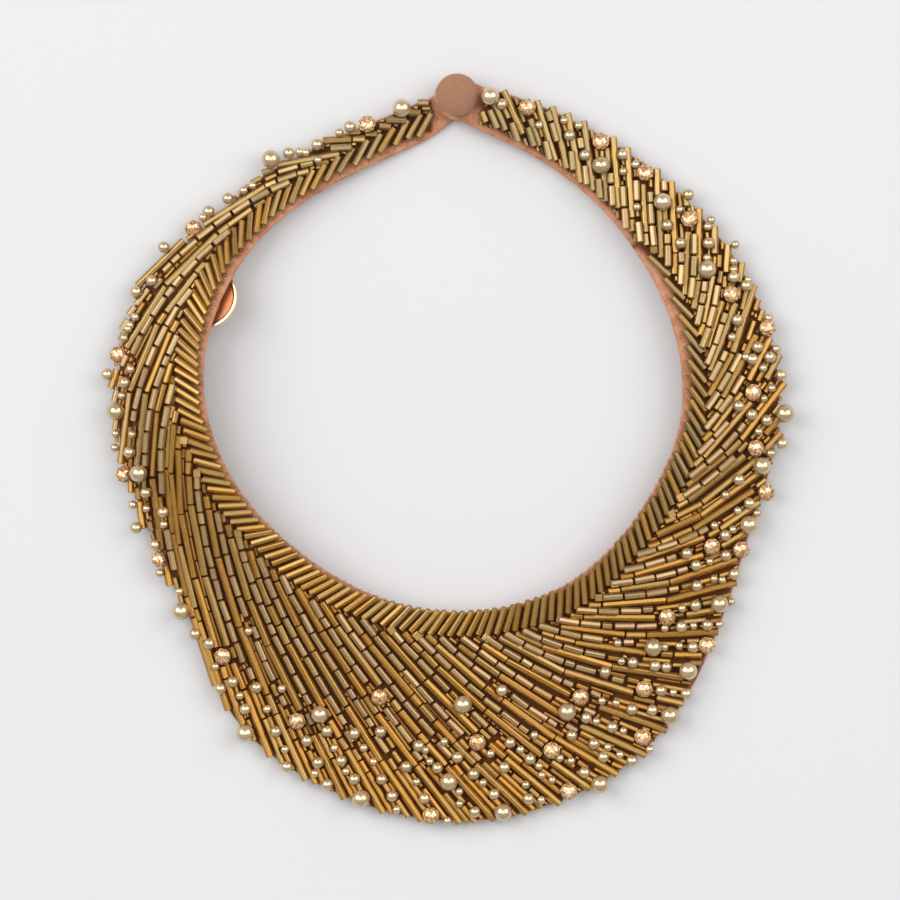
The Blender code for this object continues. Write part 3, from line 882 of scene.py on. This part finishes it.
# %% What stands in the way
def cup_foot(name):
    """The middle of a turned solid's flat foot, and the direction it stands in."""
    mesh = nodes[name].data
    feet = [face for face in mesh.polygons if face.normal.z < -0.85]
    area = sum(face.area for face in feet)
    up = -sum((face.normal * face.area for face in feet), Vector()) / area
    middle = sum((face.center * face.area for face in feet), Vector()) / area
    return middle, up.normalized()


STONE_COUNT = 28
STONE_ROOM = 0.5 * MM
CUP_RADIUS = 2.1 * MM
stone_names = [f"rhinestone_{k:02d}" for k in range(1, STONE_COUNT + 1)]
stone_feet = [cup_foot(name) for name in stone_names]
stone_blocks = [(foot.xy, CUP_RADIUS + STONE_ROOM) for foot, _ in stone_feet]
pearl_blocks = [(flat(b, r), radius) for b, r, _, radius in seats]
print("in the way:", len(stone_blocks), "stones and", len(pearl_blocks), "pearls")


def free_runs(path, blocks, test):
    """The stretches of a path, as first and last step, that pass a test and no block covers."""
    runs, first = [], None
    for k, (bearing, radius) in enumerate(path):
        spot = flat(bearing, radius)
        free = test(bearing, radius, spot)
        free = free and all((spot - block).length > reach for block, reach in blocks)
        if free and first is None:
            first = k
        if not free and first is not None:
            runs.append((first, k - 1))
            first = None
    if first is not None:
        runs.append((first, len(path) - 1))
    return runs


def along(path, place):
    """The bearing and radius at a place along a path, in metres from its start."""
    k = min(int(place / TRACE_STEP), len(path) - 2)
    share = place / TRACE_STEP - k
    (b0, r0), (b1, r1) = path[k], path[k + 1]
    return b0 + (b1 - b0) * share, r0 + (r1 - r0) * share


def fill(run, lengths, gap, dice, from_edge=False):
    """Start and end places of the beads that fill a run. The one at the edge is the longest."""
    start, end = run[0] * TRACE_STEP, run[1] * TRACE_STEP
    beads = []
    while True:
        fitting = [length for length in lengths if start + length <= end]
        if not fitting:
            return beads
        length = fitting[0] if not beads else dice.choice(fitting)
        if from_edge:
            beads.append((end - length, end))
            end -= length + gap
        else:
            beads.append((start, start + length))
            start += length + gap


SWAY = 0.12 * MM


def sew(model, path, beads, height, dice):
    """Beads laid along a path, a little unevenly, as sewing by hand leaves them."""
    copies = []
    for start, end in beads:
        ends = [over_suede(*along(path, place), height) for place in (start, end)]
        for point in ends:
            point += Vector((dice.uniform(-1, 1), dice.uniform(-1, 1), dice.uniform(-1, 1))) * SWAY
        tone = tone_and_nape_shade(along(path, start)[0], dice)
        copies.append(lay_bugle(model, *ends, tone, facet_up(dice)))
    return copies


# %% Long bars
# A length that is listed twice is picked twice as often.
BAR_LENGTHS = [18 * MM] * 3 + [16 * MM] * 2 + [12 * MM] * 2 + [7 * MM] * 2 + [5 * MM, 3 * MM]
BAR_GAP = 0.35 * MM
LARGE_ROOM = 1.9 * MM
dice = random.Random(31)
bar_model = model_bugle("long_bar", 6, BAR_RADIUS, bar_finish)
bar_blocks = stone_blocks + [(spot, LARGE_ROOM) for spot, radius in pearl_blocks if radius == LARGE]
bar_copies, bar_runs = [], []


def on_strip(bearing, radius, spot):
    return bearing < LAST_BEARING


for path in bar_paths:
    for run in free_runs(path, bar_blocks, on_strip):
        beads = fill(run, BAR_LENGTHS, BAR_GAP, dice, from_edge=True)
        bar_runs.append((path, beads))
        bar_copies += sew(bar_model, path, beads, BAR_HEIGHT, dice)
bars = join_copies("long_bars", bar_copies, bar_model)
dress(bars, "gold_beads", "bead_field")

# %% Short cut bugles
# The share of the field, from the border out, past which pearls take the place of cut bugles.
PEARL_ZONE = {3: 1.0, 100: 1.0, 125: 0.9, 135: 0.8, 150: 0.7, 200: 0.66, 210: 0.55, 225: 0.5,
              290: 0.6, 306: 1.0, 353: 1.0}
CUT_LENGTHS = [5 * MM] * 9 + [2.5 * MM]
CUT_RADIUS = 0.95 * MM
CUT_GAP = 0.55 * MM
CUT_ROOM = 1.3 * MM
PEARL_ROOM = 0.2 * MM
# Steps of the trace that a stretch of cut bugles leaves out at its start.
SKIPS = (0, 0, 1, 2, 4)
dice = random.Random(47)
cut_model = model_bugle("cut_bugle", 6, CUT_RADIUS, cut_finish)
cut_blocks = stone_blocks + [(spot, radius + PEARL_ROOM) for spot, radius in pearl_blocks]
cut_copies, cut_runs = [], []


def field_share(bearing, radius):
    """How far out a place lies between the start of the field and its end."""
    start, end = ring(bearing), field_end(bearing)
    return (radius - start) / (end - start)


def before_pearls(bearing, radius):
    return field_share(bearing, radius) < chart_read(PEARL_ZONE, bearing)


def on_suede(bearing, radius):
    """Whether a bead's axis lies over the suede, as the sewing has drawn it out."""
    return FIRST_BEARING < bearing < LAST_BEARING and radius < outer_edge(bearing) + drawn_out(bearing)


def clear_of(paths, spot, room):
    return all((spot - point).length > room for path in paths for point in path)


for k, path in enumerate(cut_paths):
    beside = flat_bars[k:k + 2]

    def in_groove(bearing, radius, spot, beside=beside):
        inner = before_pearls(bearing, radius) and on_suede(bearing, radius)
        return inner and clear_of(beside, spot, CUT_ROOM)

    for first, last in free_runs(path, cut_blocks, in_groove):
        skip = dice.choice(SKIPS)
        beads = fill((first + skip, last), CUT_LENGTHS, CUT_GAP, dice)
        cut_runs.append((path, beads))
        for bead in beads:
            middle = flat(*along(path, sum(bead) / 2))
            height = BAR_HEIGHT + rest_on(nearest_on(beside, middle).length, CUT_RADIUS)
            cut_copies += sew(cut_model, path, [bead], height, dice)
cuts = join_copies("cut_bugles", cut_copies, cut_model)
dress(cuts, "gold_beads", "bead_field")

# %% Square beads at the border
# Here and there a small square bead starts a row of cut bugles, lighter on the left and darker on
# the right, where the darker tint is painted shade.
SQUARE_LENGTH = 1.9 * MM
SQUARE_RADIUS = 1.2 * MM
SQUARE_SHARE = 0.3
SQUARE_LIFT = 0.7 * MM
SHORTEST_SQUARE_ROW = 8
# Past this bearing the squares take the darker tint, as painted shade.
SHADED_SIDE = 200
dice = random.Random(53)
# The dark end of this ramp is painted shade for the right side.
square_finish = tinted("square_gold", [shade(132, 100, 58), shade(208, 168, 106)], 0.3, 0.85, 0.2)
square_model = model_bugle("square_bead", 4, SQUARE_RADIUS, square_finish, cut=False)
square_copies = []
for path in cut_paths:
    if len(path) < SHORTEST_SQUARE_ROW or dice.random() > SQUARE_SHARE or path[0][0] > BORDER_END:
        continue
    ends = [over_suede(*along(path, place), BAR_HEIGHT + SQUARE_LIFT) for place in (0, SQUARE_LENGTH)]
    tone = dice.uniform(0.0, 0.4) if path[0][0] > SHADED_SIDE else dice.uniform(0.6, 1.0)
    square_copies.append(lay_bugle(square_model, *ends, tone, math.pi / 4))
squares = join_copies("square_beads", square_copies, square_model)
dress(squares, "gold_beads")

# %% [markdown]
# Closing the gaps
#
# A good bead worker leaves no suede bare: wherever a gap stays open between two rows, another bead
# goes in, the widest that fits. So every bead sewn so far claims its place in a table of small
# squares. Then many more rows are traced, close together, and each stretch of them that is far
# enough from all claimed places is filled, first with bugles, then with thinner and thinner bars.

# %% The table of claimed places
CELL = 2 * MM
CLAIM_INSET = 0.75
claimed = {}


def cell_of(spot):
    return int(spot.x // CELL), int(spot.y // CELL)


def claim(path, beads, radius):
    """Claims round places along the beads on a path, none of them past a bead's ends."""
    for start, end in beads:
        inset = min(radius * CLAIM_INSET, (end - start) / 3)
        reach = end - start - 2 * inset
        steps = max(int(reach / MM), 1)
        for k in range(steps + 1):
            spot = flat(*along(path, start + inset + reach * k / steps))
            claimed.setdefault(cell_of(spot), []).append((spot, radius))


def room_at(spot):
    """How far a spot is from the nearest claimed bead's side, or a square's width if none is near."""
    column, row = cell_of(spot)
    near = [item for i in (-1, 0, 1) for j in (-1, 0, 1)
            for item in claimed.get((column + i, row + j), ())]
    return min(((spot - place).length - radius for place, radius in near), default=CELL)


for path, beads in bar_runs:
    claim(path, beads, BAR_RADIUS)
for path, beads in cut_runs:
    claim(path, beads, CUT_RADIUS)
print("squares of the table in use:", len(claimed))

# %% Filling what is open
FINE_TIPS = 0.5
SQUEEZE = 0.28 * MM
TIP_COUNT = 720
SHORTEST_PATH = 4
fine_paths = [trace(FIRST_TIP + k * FINE_TIPS) for k in range(TIP_COUNT)]
fine_paths = [path for path in fine_paths if len(path) >= SHORTEST_PATH]
print("fine paths:", len(fine_paths))


def fill_gaps(model, radius, lengths, setback, height, blocks, test, dice):
    """Beads along the fine paths wherever there is room for them, set back from the edge."""
    copies = []

    def is_open(bearing, reach, spot):
        inside = on_suede(bearing, reach) and reach < field_end(bearing) - setback
        return inside and test(bearing, reach) and room_at(spot) > radius - SQUEEZE

    for path in fine_paths:
        for run in free_runs(path, blocks, is_open):
            beads = fill(run, lengths, BAR_GAP, dice, from_edge=True)
            claim(path, beads, radius)
            copies += sew(model, path, beads, height, dice)
    return copies


def anywhere(bearing, radius):
    return True


def blocks_at(stone_share, pearl_share):
    """Stones and pearls as blocks, each taken at a share of its radius."""
    stones = [(spot, CUP_RADIUS * stone_share) for spot, _ in stone_blocks]
    return stones + [(spot, radius * pearl_share) for spot, radius in pearl_blocks]


# %% More bugles and slimmer and slimmer bars
dice = random.Random(59)


def fill_with(name, model, radius, lengths, setback, height, blocks, test=anywhere):
    """A piece of beads of one width wherever there is room for them."""
    copies = fill_gaps(model, radius, lengths, setback, height, blocks, test, dice)
    piece = join_copies(name, copies, model)
    dress(piece, "gold_beads", "bead_field")


EXTRA_LENGTHS = [5 * MM] * 4 + [3 * MM]
cut_model = model_bugle("cut_bugle", 6, CUT_RADIUS, cut_finish)
fill_with("more_cut_bugles", cut_model, CUT_RADIUS, EXTRA_LENGTHS, setback=0.4 * MM,
          height=BAR_HEIGHT, blocks=blocks_at(1.15, 0.95), test=before_pearls)

# Squeezed in between their neighbours, the slim ones stand almost as high as these.
SLIM_LENGTHS = [12 * MM, 9 * MM, 7 * MM, 5 * MM, 3 * MM]
SLIM_RADIUS = 0.82 * MM
slim_model = model_bugle("slim_bar", 6, SLIM_RADIUS, bar_finish)
fill_with("slim_bars", slim_model, SLIM_RADIUS, SLIM_LENGTHS, setback=0.3 * MM,
          height=1.15 * MM, blocks=blocks_at(1.0, 0.6))

THIN_LENGTHS = [12 * MM, 9 * MM, 6 * MM, 4 * MM, 2 * MM]
THIN_RADIUS = 0.64 * MM
thin_model = model_bugle("thin_bar", 6, THIN_RADIUS, thin_finish)
fill_with("thin_bars", thin_model, THIN_RADIUS, THIN_LENGTHS, setback=0.6 * MM,
          height=1.0 * MM, blocks=blocks_at(0.9, 0.3))

FINE_LENGTHS = [9 * MM, 6 * MM, 3.5 * MM, 2 * MM, 1 * MM]
FINE_RADIUS = 0.45 * MM
fine_model = model_bugle("fine_bar", 6, FINE_RADIUS, thin_finish, cut=False)
fill_with("fine_bars", fine_model, FINE_RADIUS, FINE_LENGTHS, setback=0.8 * MM,
          height=0.9 * MM, blocks=blocks_at(0.9, 0.3))

# %% [markdown]
# Thread
#
# Each row is strung on a brown thread that shows in the gaps between beads, and every border
# bugle is caught at the neck edge with a pale stitch. A thread is a curve with a little depth,
# turned into a mesh so that it ships with the rest.

# %% Threads along the rows
THREAD = 0.16 * MM
thread_finish, _, _ = plain_material("brown_thread", shade(84, 42, 18), 0.7)
stitch_finish, _, _ = plain_material("pale_stitch", shade(176, 128, 98), 0.7)


def sew_threads(name, lines, radius, finish):
    """A piece of thread through each list of points."""
    curve = bpy.data.curves.new(name, "CURVE")
    curve.dimensions = "3D"
    curve.bevel_depth = radius
    curve.bevel_resolution = 0
    curve.use_fill_caps = True
    for line in lines:
        spline = curve.splines.new("POLY")
        spline.points.add(len(line) - 1)
        for point, corner in zip(spline.points, line):
            point.co = (*corner, 1.0)
    pick(add_object(name, curve))
    bpy.ops.object.convert(target="MESH")
    bpy.ops.object.mode_set(mode="EDIT")
    bpy.ops.mesh.select_all(action="SELECT")
    bpy.ops.mesh.remove_doubles(threshold=TOUCH / 10)
    bpy.ops.mesh.normals_make_consistent(inside=False)
    bpy.ops.object.mode_set(mode="OBJECT")
    piece = bpy.context.object
    piece.data.materials.append(finish)
    print(name, "has", len(lines), "threads,", len(piece.data.polygons), "faces")
    return piece


THREAD_STRIDE = 6
lines = []
for path in bar_paths:
    inside = [(b, r) for b, r in path if r < outer_edge(b) - EDGE_GRIP and b < LAST_BEARING]
    line = [over_suede(b, r, BAR_HEIGHT) for b, r in inside[::THREAD_STRIDE]]
    if len(line) > 1:
        lines.append(line)
row_threads = sew_threads("row_threads", lines, THREAD, thread_finish)
dress(row_threads, "gold_beads")

# %% Stitches along the neck edge
STITCH_REACH = 0.9 * MM
STITCH_MARGIN = 0.15 * MM
# How far inside the bead's end the stitch starts, and how far outside it turns down.
STITCH_IN, STITCH_OUT = 0.4 * MM, 0.2 * MM
DRIFT = 0.3
dice = random.Random(61)
stitches = []
for bearing, radius in border_ends:
    far = max(radius - STITCH_REACH, neck_edge(bearing) + STITCH_MARGIN)
    drift = dice.uniform(-DRIFT, DRIFT)
    stitches.append([
        over_suede(bearing, radius + STITCH_IN, border_height),
        over_suede(bearing, radius - STITCH_OUT, border_height * 0.8),
        over_suede(bearing + drift, far, 0.0),
    ])
neck_stitches = sew_threads("neck_stitches", stitches, THREAD * 0.9, stitch_finish)
dress(neck_stitches, "suede")

# %% [markdown]
# The suede
#
# Suede is leather brushed to a nap, cut with a knife, so its edge is soft and a little ragged.
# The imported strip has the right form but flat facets. A copy of it is merged, turned back into
# quads, smoothed by subdivision and roughened by a displacement that is as fine as the nap. On the
# left the outermost bars hang over its edge, and their stitches draw it out by a millimetre or two.


# %% A nap for the material
def suede_finish():
    made, tree, shader = plain_material("salmon_suede", shade(186, 124, 92), 0.95)
    nap, patch = add_noise(tree, 2600.0, 4.0), add_noise(tree, 260.0)
    both = tree.nodes.new("ShaderNodeMix")
    both.inputs["Factor"].default_value = 0.5
    tree.links.new(nap, both.inputs["A"])
    tree.links.new(patch, both.inputs["B"])
    stops = [(0.35, shade(148, 96, 68)), (0.62, shade(200, 142, 108))]
    brushed = add_ramp(tree, both.outputs["Result"], stops)
    # Under the beads the suede turns dark brown: partly the thread, partly painted shade in the gaps
    # between the beads.
    thread_and_shade_mix = tree.nodes.new("ShaderNodeMix")
    thread_and_shade_mix.data_type = "RGBA"
    thread_and_shade_mix.inputs["B"].default_value = shade(94, 46, 10)
    tree.links.new(add_attribute(tree, "thread_and_shade"), thread_and_shade_mix.inputs["Factor"])
    tree.links.new(brushed, thread_and_shade_mix.inputs["A"])
    tree.links.new(thread_and_shade_mix.outputs["Result"], shader.inputs["Base Color"])
    add_bump(tree, shader, nap, 0.6, 0.15 * MM)
    shader.inputs["Sheen Weight"].default_value = 0.5
    shader.inputs["Sheen Roughness"].default_value = 0.5
    shader.inputs["Sheen Tint"].default_value = shade(226, 164, 124)
    return made


# %% The strip itself
strip = add_object("suede_strip", nodes["backing"].data.copy())
strip.data.materials.clear()
strip.data.materials.append(suede_finish())
pick(strip)
bpy.ops.object.mode_set(mode="EDIT")
bpy.ops.mesh.select_all(action="SELECT")
bpy.ops.mesh.remove_doubles(threshold=TOUCH)
bpy.ops.mesh.tris_convert_to_quads()
bpy.ops.object.mode_set(mode="OBJECT")

# Heavy bars that hang over the left edge draw it out.
DRAWN_BAND = 5 * MM
for vertex in strip.data.vertices:
    bearing, radius = seen_from_neck(vertex.co)
    share = (radius - outer_edge(bearing) + DRAWN_BAND) / DRAWN_BAND
    vertex.co += outward(bearing) * drawn_out(bearing) * min(max(share, 0.0), 1.0)

round_off = strip.modifiers.new("round_off", "SUBSURF")
round_off.levels = 2
round_off.render_levels = 2
ragged = strip.modifiers.new("ragged", "DISPLACE")
ragged.texture = bpy.data.textures.new("nap", "CLOUDS")
ragged.texture.noise_scale = 1.4 * MM
ragged.strength = 0.35 * MM
ragged.mid_level = 0.5
for name in ("round_off", "ragged"):
    bpy.ops.object.modifier_apply(modifier=name)
bpy.ops.object.shade_smooth()

# Under the beads the suede is darkened, partly for the dense brown thread and partly as painted shade
# in the deep gaps between the beads, but not along its two edges.
BED_FADE = 0.6 * MM
BORDER_RIM = 0.6 * MM
EDGE_RIM = 0.2 * MM
thread_and_shade = strip.data.attributes.new("thread_and_shade", "FLOAT", "POINT")
depths = []
for vertex in strip.data.vertices:
    bearing, radius = seen_from_neck(vertex.co)
    border_width = BORDER_BUGLE_LENGTH * math.cos(lean(bearing, BORDER)) - BORDER_RIM
    bead_start = ring(bearing) - (border_width if bearing < BORDER_LAST else -EDGE_RIM)
    bead_end = outer_edge(bearing) + drawn_out(bearing) - EDGE_RIM
    inside = min(radius - bead_start, bead_end - radius)
    sewn = FIRST_BEARING < bearing < LAST_BEARING and vertex.normal.z > 0.2
    depths.append(min(max(inside / BED_FADE, 0.0), 1.0) if sewn else 0.0)
thread_and_shade.data.foreach_set("value", depths)
print("suede has", len(strip.data.polygons), "faces")
dress(strip, "suede", "backing")

# %% [markdown]
# The stones in their cups
#
# A rhinestone is a low cut stone on a foil, held in a pressed brass cup by claws bent over its
# rim. The stone starts as a disc. Its top is raised, narrowed and turned by half a facet, twice,
# and poked to a small point in the middle: that gives the crown its triangles. The cup is a
# cylinder, inset and sunk, and the claws are small blocks, tapered and set round it.

# %% Their finishes
brass_finish = tinted("brass_cup", [shade(196, 154, 104), shade(212, 172, 122)], 0.32, 0.95, 0.0)


def crystal_finish():
    """The foil's own peach seen through cut glass, with painted glints: a random value on each face
    picks a lighter or darker peach for the light it would throw back.
    """
    made, tree, shader = plain_material("peach_crystal", shade(235, 190, 155), 0.12, 0.55)
    # Peach for the foil, with painted shade at the dark end and a painted glint at the light end.
    stops = [(0.0, shade(150, 88, 46)), (0.25, shade(202, 146, 92)), (0.7, shade(230, 190, 142)),
             (1.0, shade(250, 234, 206))]
    foil_and_glints = add_ramp(tree, add_attribute(tree, "facet_glint"), stops)
    tree.links.new(foil_and_glints, shader.inputs["Base Color"])
    shader.inputs["Coat Weight"].default_value = 1.0
    shader.inputs["Coat Roughness"].default_value = 0.02
    return made


# %% One stone
CUP_DEPTH = 1.7 * MM
STONE_RADIUS = CUP_RADIUS * 0.88
CROWN = 0.9 * MM
FACETS = 12


def model_stone(finish):
    """A cut stone: a disc whose top is raised and turned in two steps to a small table."""
    pick_nothing()
    bpy.ops.mesh.primitive_cylinder_add(vertices=FACETS, radius=STONE_RADIUS, depth=0.3 * MM,
                                        location=(0, 0, CUP_DEPTH))
    stone = bpy.context.object
    bpy.ops.object.transform_apply(location=True)
    bpy.ops.object.mode_set(mode="EDIT")
    choose_faces(stone, lambda centre, normal: normal.z > 0.9)
    level = CUP_DEPTH + 0.15 * MM
    for rise, share in ((0.5, 0.80), (0.25, 0.66)):
        bpy.ops.mesh.extrude_region_move(TRANSFORM_OT_translate={"value": (0, 0, CROWN * rise)})
        level += CROWN * rise
        bpy.ops.transform.resize(value=(share, share, 1), center_override=(0, 0, level))
        bpy.ops.transform.rotate(value=math.pi / FACETS, orient_axis="Z",
                                 center_override=(0, 0, level))
    bpy.ops.mesh.poke(offset=CROWN * 0.05)
    bpy.ops.mesh.select_all(action="SELECT")
    bpy.ops.mesh.quads_convert_to_tris()
    bpy.ops.object.mode_set(mode="OBJECT")
    stone.data.materials.append(finish)
    return stone


# %% One cup with its claws
CLAWS = 8
CLAW_WIDTH = 0.55 * MM
CLAW_DEPTH = 0.3 * MM
CLAW_LENGTH = 1.2 * MM


def model_cup(finish):
    pick_nothing()
    bpy.ops.mesh.primitive_cylinder_add(vertices=20, radius=CUP_RADIUS, depth=CUP_DEPTH,
                                        location=(0, 0, CUP_DEPTH / 2))
    cup = bpy.context.object
    bpy.ops.object.transform_apply(location=True)
    bpy.ops.object.mode_set(mode="EDIT")
    choose_faces(cup, lambda centre, normal: normal.z > 0.9)
    bpy.ops.mesh.inset(thickness=CUP_RADIUS * 0.1)
    bpy.ops.mesh.inset(thickness=CUP_RADIUS * 0.05, depth=-CUP_DEPTH * 0.3)
    choose_faces(cup, lambda centre, normal: normal.z < -0.9)
    bpy.ops.transform.resize(value=(0.72, 0.72, 1.0), center_override=(0, 0, 0))
    choose_edges(cup, lambda a, b: min(a.xy.length, b.xy.length) > CUP_RADIUS * 0.95
                 and abs(a.z - b.z) < TOUCH)
    bpy.ops.mesh.bevel(offset=0.12 * MM, segments=2)
    bpy.ops.object.mode_set(mode="OBJECT")
    cup.data.materials.append(finish)
    return cup


def model_claw(finish):
    """A claw that stands at the cup's wall and bends in over the stone."""
    pick_nothing()
    bpy.ops.mesh.primitive_cube_add(size=1.0, location=(CUP_RADIUS - CLAW_DEPTH / 2, 0, CUP_DEPTH))
    claw = bpy.context.object
    claw.scale = (CLAW_DEPTH, CLAW_WIDTH, CLAW_LENGTH * 0.6)
    bpy.ops.object.transform_apply(location=True, scale=True)
    bpy.ops.object.mode_set(mode="EDIT")
    choose_faces(claw, lambda centre, normal: normal.z > 0.9)
    bpy.ops.mesh.extrude_region_move(TRANSFORM_OT_translate={
        "value": (-CLAW_LENGTH * 0.4, 0, CLAW_LENGTH * 0.3)})
    bpy.ops.transform.resize(value=(0.7, 0.6, 0.7))
    bpy.ops.mesh.select_all(action="SELECT")
    bpy.ops.mesh.bevel(offset=0.05 * MM, segments=1)
    bpy.ops.object.mode_set(mode="OBJECT")
    claw.data.materials.append(finish)
    return claw


# %% Setting the stones
crystal = crystal_finish()
claw = model_claw(brass_finish)
set_copies = [model_cup(brass_finish), model_stone(crystal)]
for k in range(CLAWS):
    mesh = claw.data.copy()
    mesh.transform(Matrix.Rotation(math.tau * (k + 0.5) / CLAWS, 4, "Z"))
    set_copies.append(add_object("claw", mesh))
stone_model = join_copies("stone_model", set_copies, claw)
bpy.ops.object.shade_smooth_by_angle(angle=math.radians(30))

dice = random.Random(71)
for name, (foot, up) in zip(stone_names, stone_feet):
    mesh = stone_model.data.copy()
    spin = Matrix.Rotation(dice.uniform(0, math.tau), 4, "Z")
    set_stone = add_copy(mesh, stand(foot, up) @ spin, dice.random())
    # Each face gets a random value for its painted glint or shade.
    facet_glint = mesh.attributes.new("facet_glint", "FLOAT", "FACE")
    facet_glint.data.foreach_set("value", [dice.random() for _ in mesh.polygons])
    set_stone.name = name.replace("rhinestone", "stone_in_cup")
    dress(set_stone, "crystal", name)
bpy.data.objects.remove(stone_model)
print("stones set:", len(stone_names))

# %% [markdown]
# The covered button
#
# A button form is covered with a disc of twill drawn tight over it and gathered underneath. It
# starts as a ball, cut through with bisect to leave a cap, and its rim is extruded down and in.
# Twill shows as fine slanting ribs, so its material is two sets of waves at a slant.


# %% Twill
def twill_finish():
    made, tree, shader = plain_material("mauve_twill", shade(150, 106, 78), 0.8)
    new, link = tree.nodes.new, tree.links.new
    place = new("ShaderNodeTexCoord")
    turn = new("ShaderNodeMapping")
    turn.inputs["Rotation"].default_value = (0.0, 0.0, math.radians(9))
    link(place.outputs["Object"], turn.inputs["Vector"])
    ribs = new("ShaderNodeTexWave")
    ribs.inputs["Scale"].default_value = 500.0
    ribs.inputs["Distortion"].default_value = 0.6
    link(turn.outputs["Vector"], ribs.inputs["Vector"])
    weft = new("ShaderNodeTexWave")
    weft.bands_direction = "Y"
    weft.inputs["Scale"].default_value = 620.0
    link(turn.outputs["Vector"], weft.inputs["Vector"])
    weave = new("ShaderNodeMath")
    weave.operation = "MULTIPLY"
    link(ribs.outputs["Fac"], weave.inputs[0])
    link(weft.outputs["Fac"], weave.inputs[1])
    stops = [(0.0, shade(134, 92, 66)), (1.0, shade(172, 124, 92))]
    link(add_ramp(tree, weave.outputs["Value"], stops), shader.inputs["Base Color"])
    add_bump(tree, shader, weave.outputs["Value"], 0.4, 0.1 * MM)
    shader.inputs["Sheen Weight"].default_value = 0.4
    return made


# %% The button
button_size = button_high - button_low
button_radius = button_size.x / 2
button_middle = (button_low + button_high) / 2
DOME_SHARE = 0.58
dome_height = button_size.z * DOME_SHARE
rim_level = button_high.z - dome_height
pick_nothing()
bpy.ops.mesh.primitive_uv_sphere_add(segments=48, ring_count=24, radius=button_radius)
button = bpy.context.object
button.name = "twill_button"
bpy.ops.object.mode_set(mode="EDIT")
bpy.ops.mesh.select_all(action="SELECT")
bpy.ops.mesh.bisect(plane_co=(0, 0, 0), plane_no=(0, 0, 1), clear_inner=True)
bpy.ops.mesh.select_all(action="SELECT")
bpy.ops.transform.resize(value=(1, 1, dome_height / button_radius), center_override=(0, 0, 0))
bpy.ops.transform.translate(value=(button_middle.x, button_middle.y, rim_level))
choose_edges(button, lambda a, b: max(a.z, b.z) < rim_level + TOUCH)
under = rim_level - button_low.z
for drop, shrink in ((0.35, 0.985), (0.35, 0.93), (0.30, 0.80)):
    bpy.ops.mesh.extrude_region_move(TRANSFORM_OT_translate={"value": (0, 0, -under * drop)})
    bpy.ops.transform.resize(value=(shrink, shrink, 1), center_override=button_middle)
bpy.ops.mesh.edge_face_add()
bpy.ops.mesh.select_all(action="SELECT")
bpy.ops.mesh.normals_make_consistent(inside=False)
bpy.ops.object.mode_set(mode="OBJECT")
bpy.ops.object.shade_smooth_by_angle(angle=math.radians(50))
bpy.ops.object.transform_apply(location=True, rotation=True, scale=True)
button.data.materials.append(twill_finish())
dress(button, "twill", "cover_button")
print("button is", round(button_size.x / MM, 1), "mm across")

# %% [markdown]
# The disc and the snap
#
# Under the left side hangs a thin dished disc, of which a copper crescent with a bright rim shows: the
# crescent's copper is partly painted shade, and the rim's cream is a painted highlight.
# It is a cylinder whose face is inset for the rim and inset again, pushed down, for the dish. The
# snap between the two ends is hidden, and keeps its imported shape with a brass finish.

# %% The disc
disc_foot, disc_up = cup_foot("back_disc")
DISC_RADIUS = 8 * MM
DISC_THICKNESS = 1.2 * MM
DISC_RIM = 0.75 * MM
DISC_BEVEL = 0.14 * MM


def on_disc_edge(a, b):
    """Level edges at the rim's top and round the outer wall."""
    near = min(a.xy.length, b.xy.length)
    on_rim = near > DISC_RADIUS - DISC_RIM * 1.05 and max(a.z, b.z) > TOUCH
    return abs(a.z - b.z) < TOUCH and (on_rim or near > DISC_RADIUS * 0.99)


pick_nothing()
bpy.ops.mesh.primitive_cylinder_add(vertices=72, radius=DISC_RADIUS, depth=DISC_THICKNESS,
                                    location=(0, 0, DISC_THICKNESS / 2))
disc = bpy.context.object
disc.name = "dished_disc"
bpy.ops.object.transform_apply(location=True)
# The copper of the face is partly painted shade, and the cream of the rim a painted highlight.
disc_metal = tinted("copper_disc", [shade(196, 122, 78), shade(206, 134, 90)], 0.38, 0.85, 0.0,
                    grain=300.0)
rim_highlight_metal = tinted("rim_painted_highlight", [shade(232, 212, 170), shade(236, 218, 180)], 0.25, 0.9, 0.0)
disc.data.materials.append(disc_metal)
disc.data.materials.append(rim_highlight_metal)
bpy.ops.object.mode_set(mode="EDIT")
choose_faces(disc, lambda centre, normal: normal.z > 0.9)
bpy.ops.mesh.inset(thickness=DISC_RIM)
bpy.ops.mesh.inset(thickness=DISC_RIM * 0.6, depth=-DISC_THICKNESS * 0.45)
choose_edges(disc, on_disc_edge)
bpy.ops.mesh.bevel(offset=DISC_BEVEL, segments=3)
bpy.ops.object.mode_set(mode="OBJECT")
# The faces of the rim take the painted highlight.
for face in disc.data.polygons:
    if face.center.xy.length > DISC_RADIUS - DISC_RIM * 1.3:
        face.material_index = 1
bpy.ops.object.shade_smooth_by_angle(angle=math.radians(40))
disc.data.transform(stand(disc_foot, disc_up))
mark(disc.data, 0.5)
dress(disc, "disc_metal", "back_disc")
print("disc has", len(disc.data.polygons), "faces")

# %% The snap
nodes["snap"].material_slots[0].material = brass_finish
print("snap is finished in", brass_finish.name)
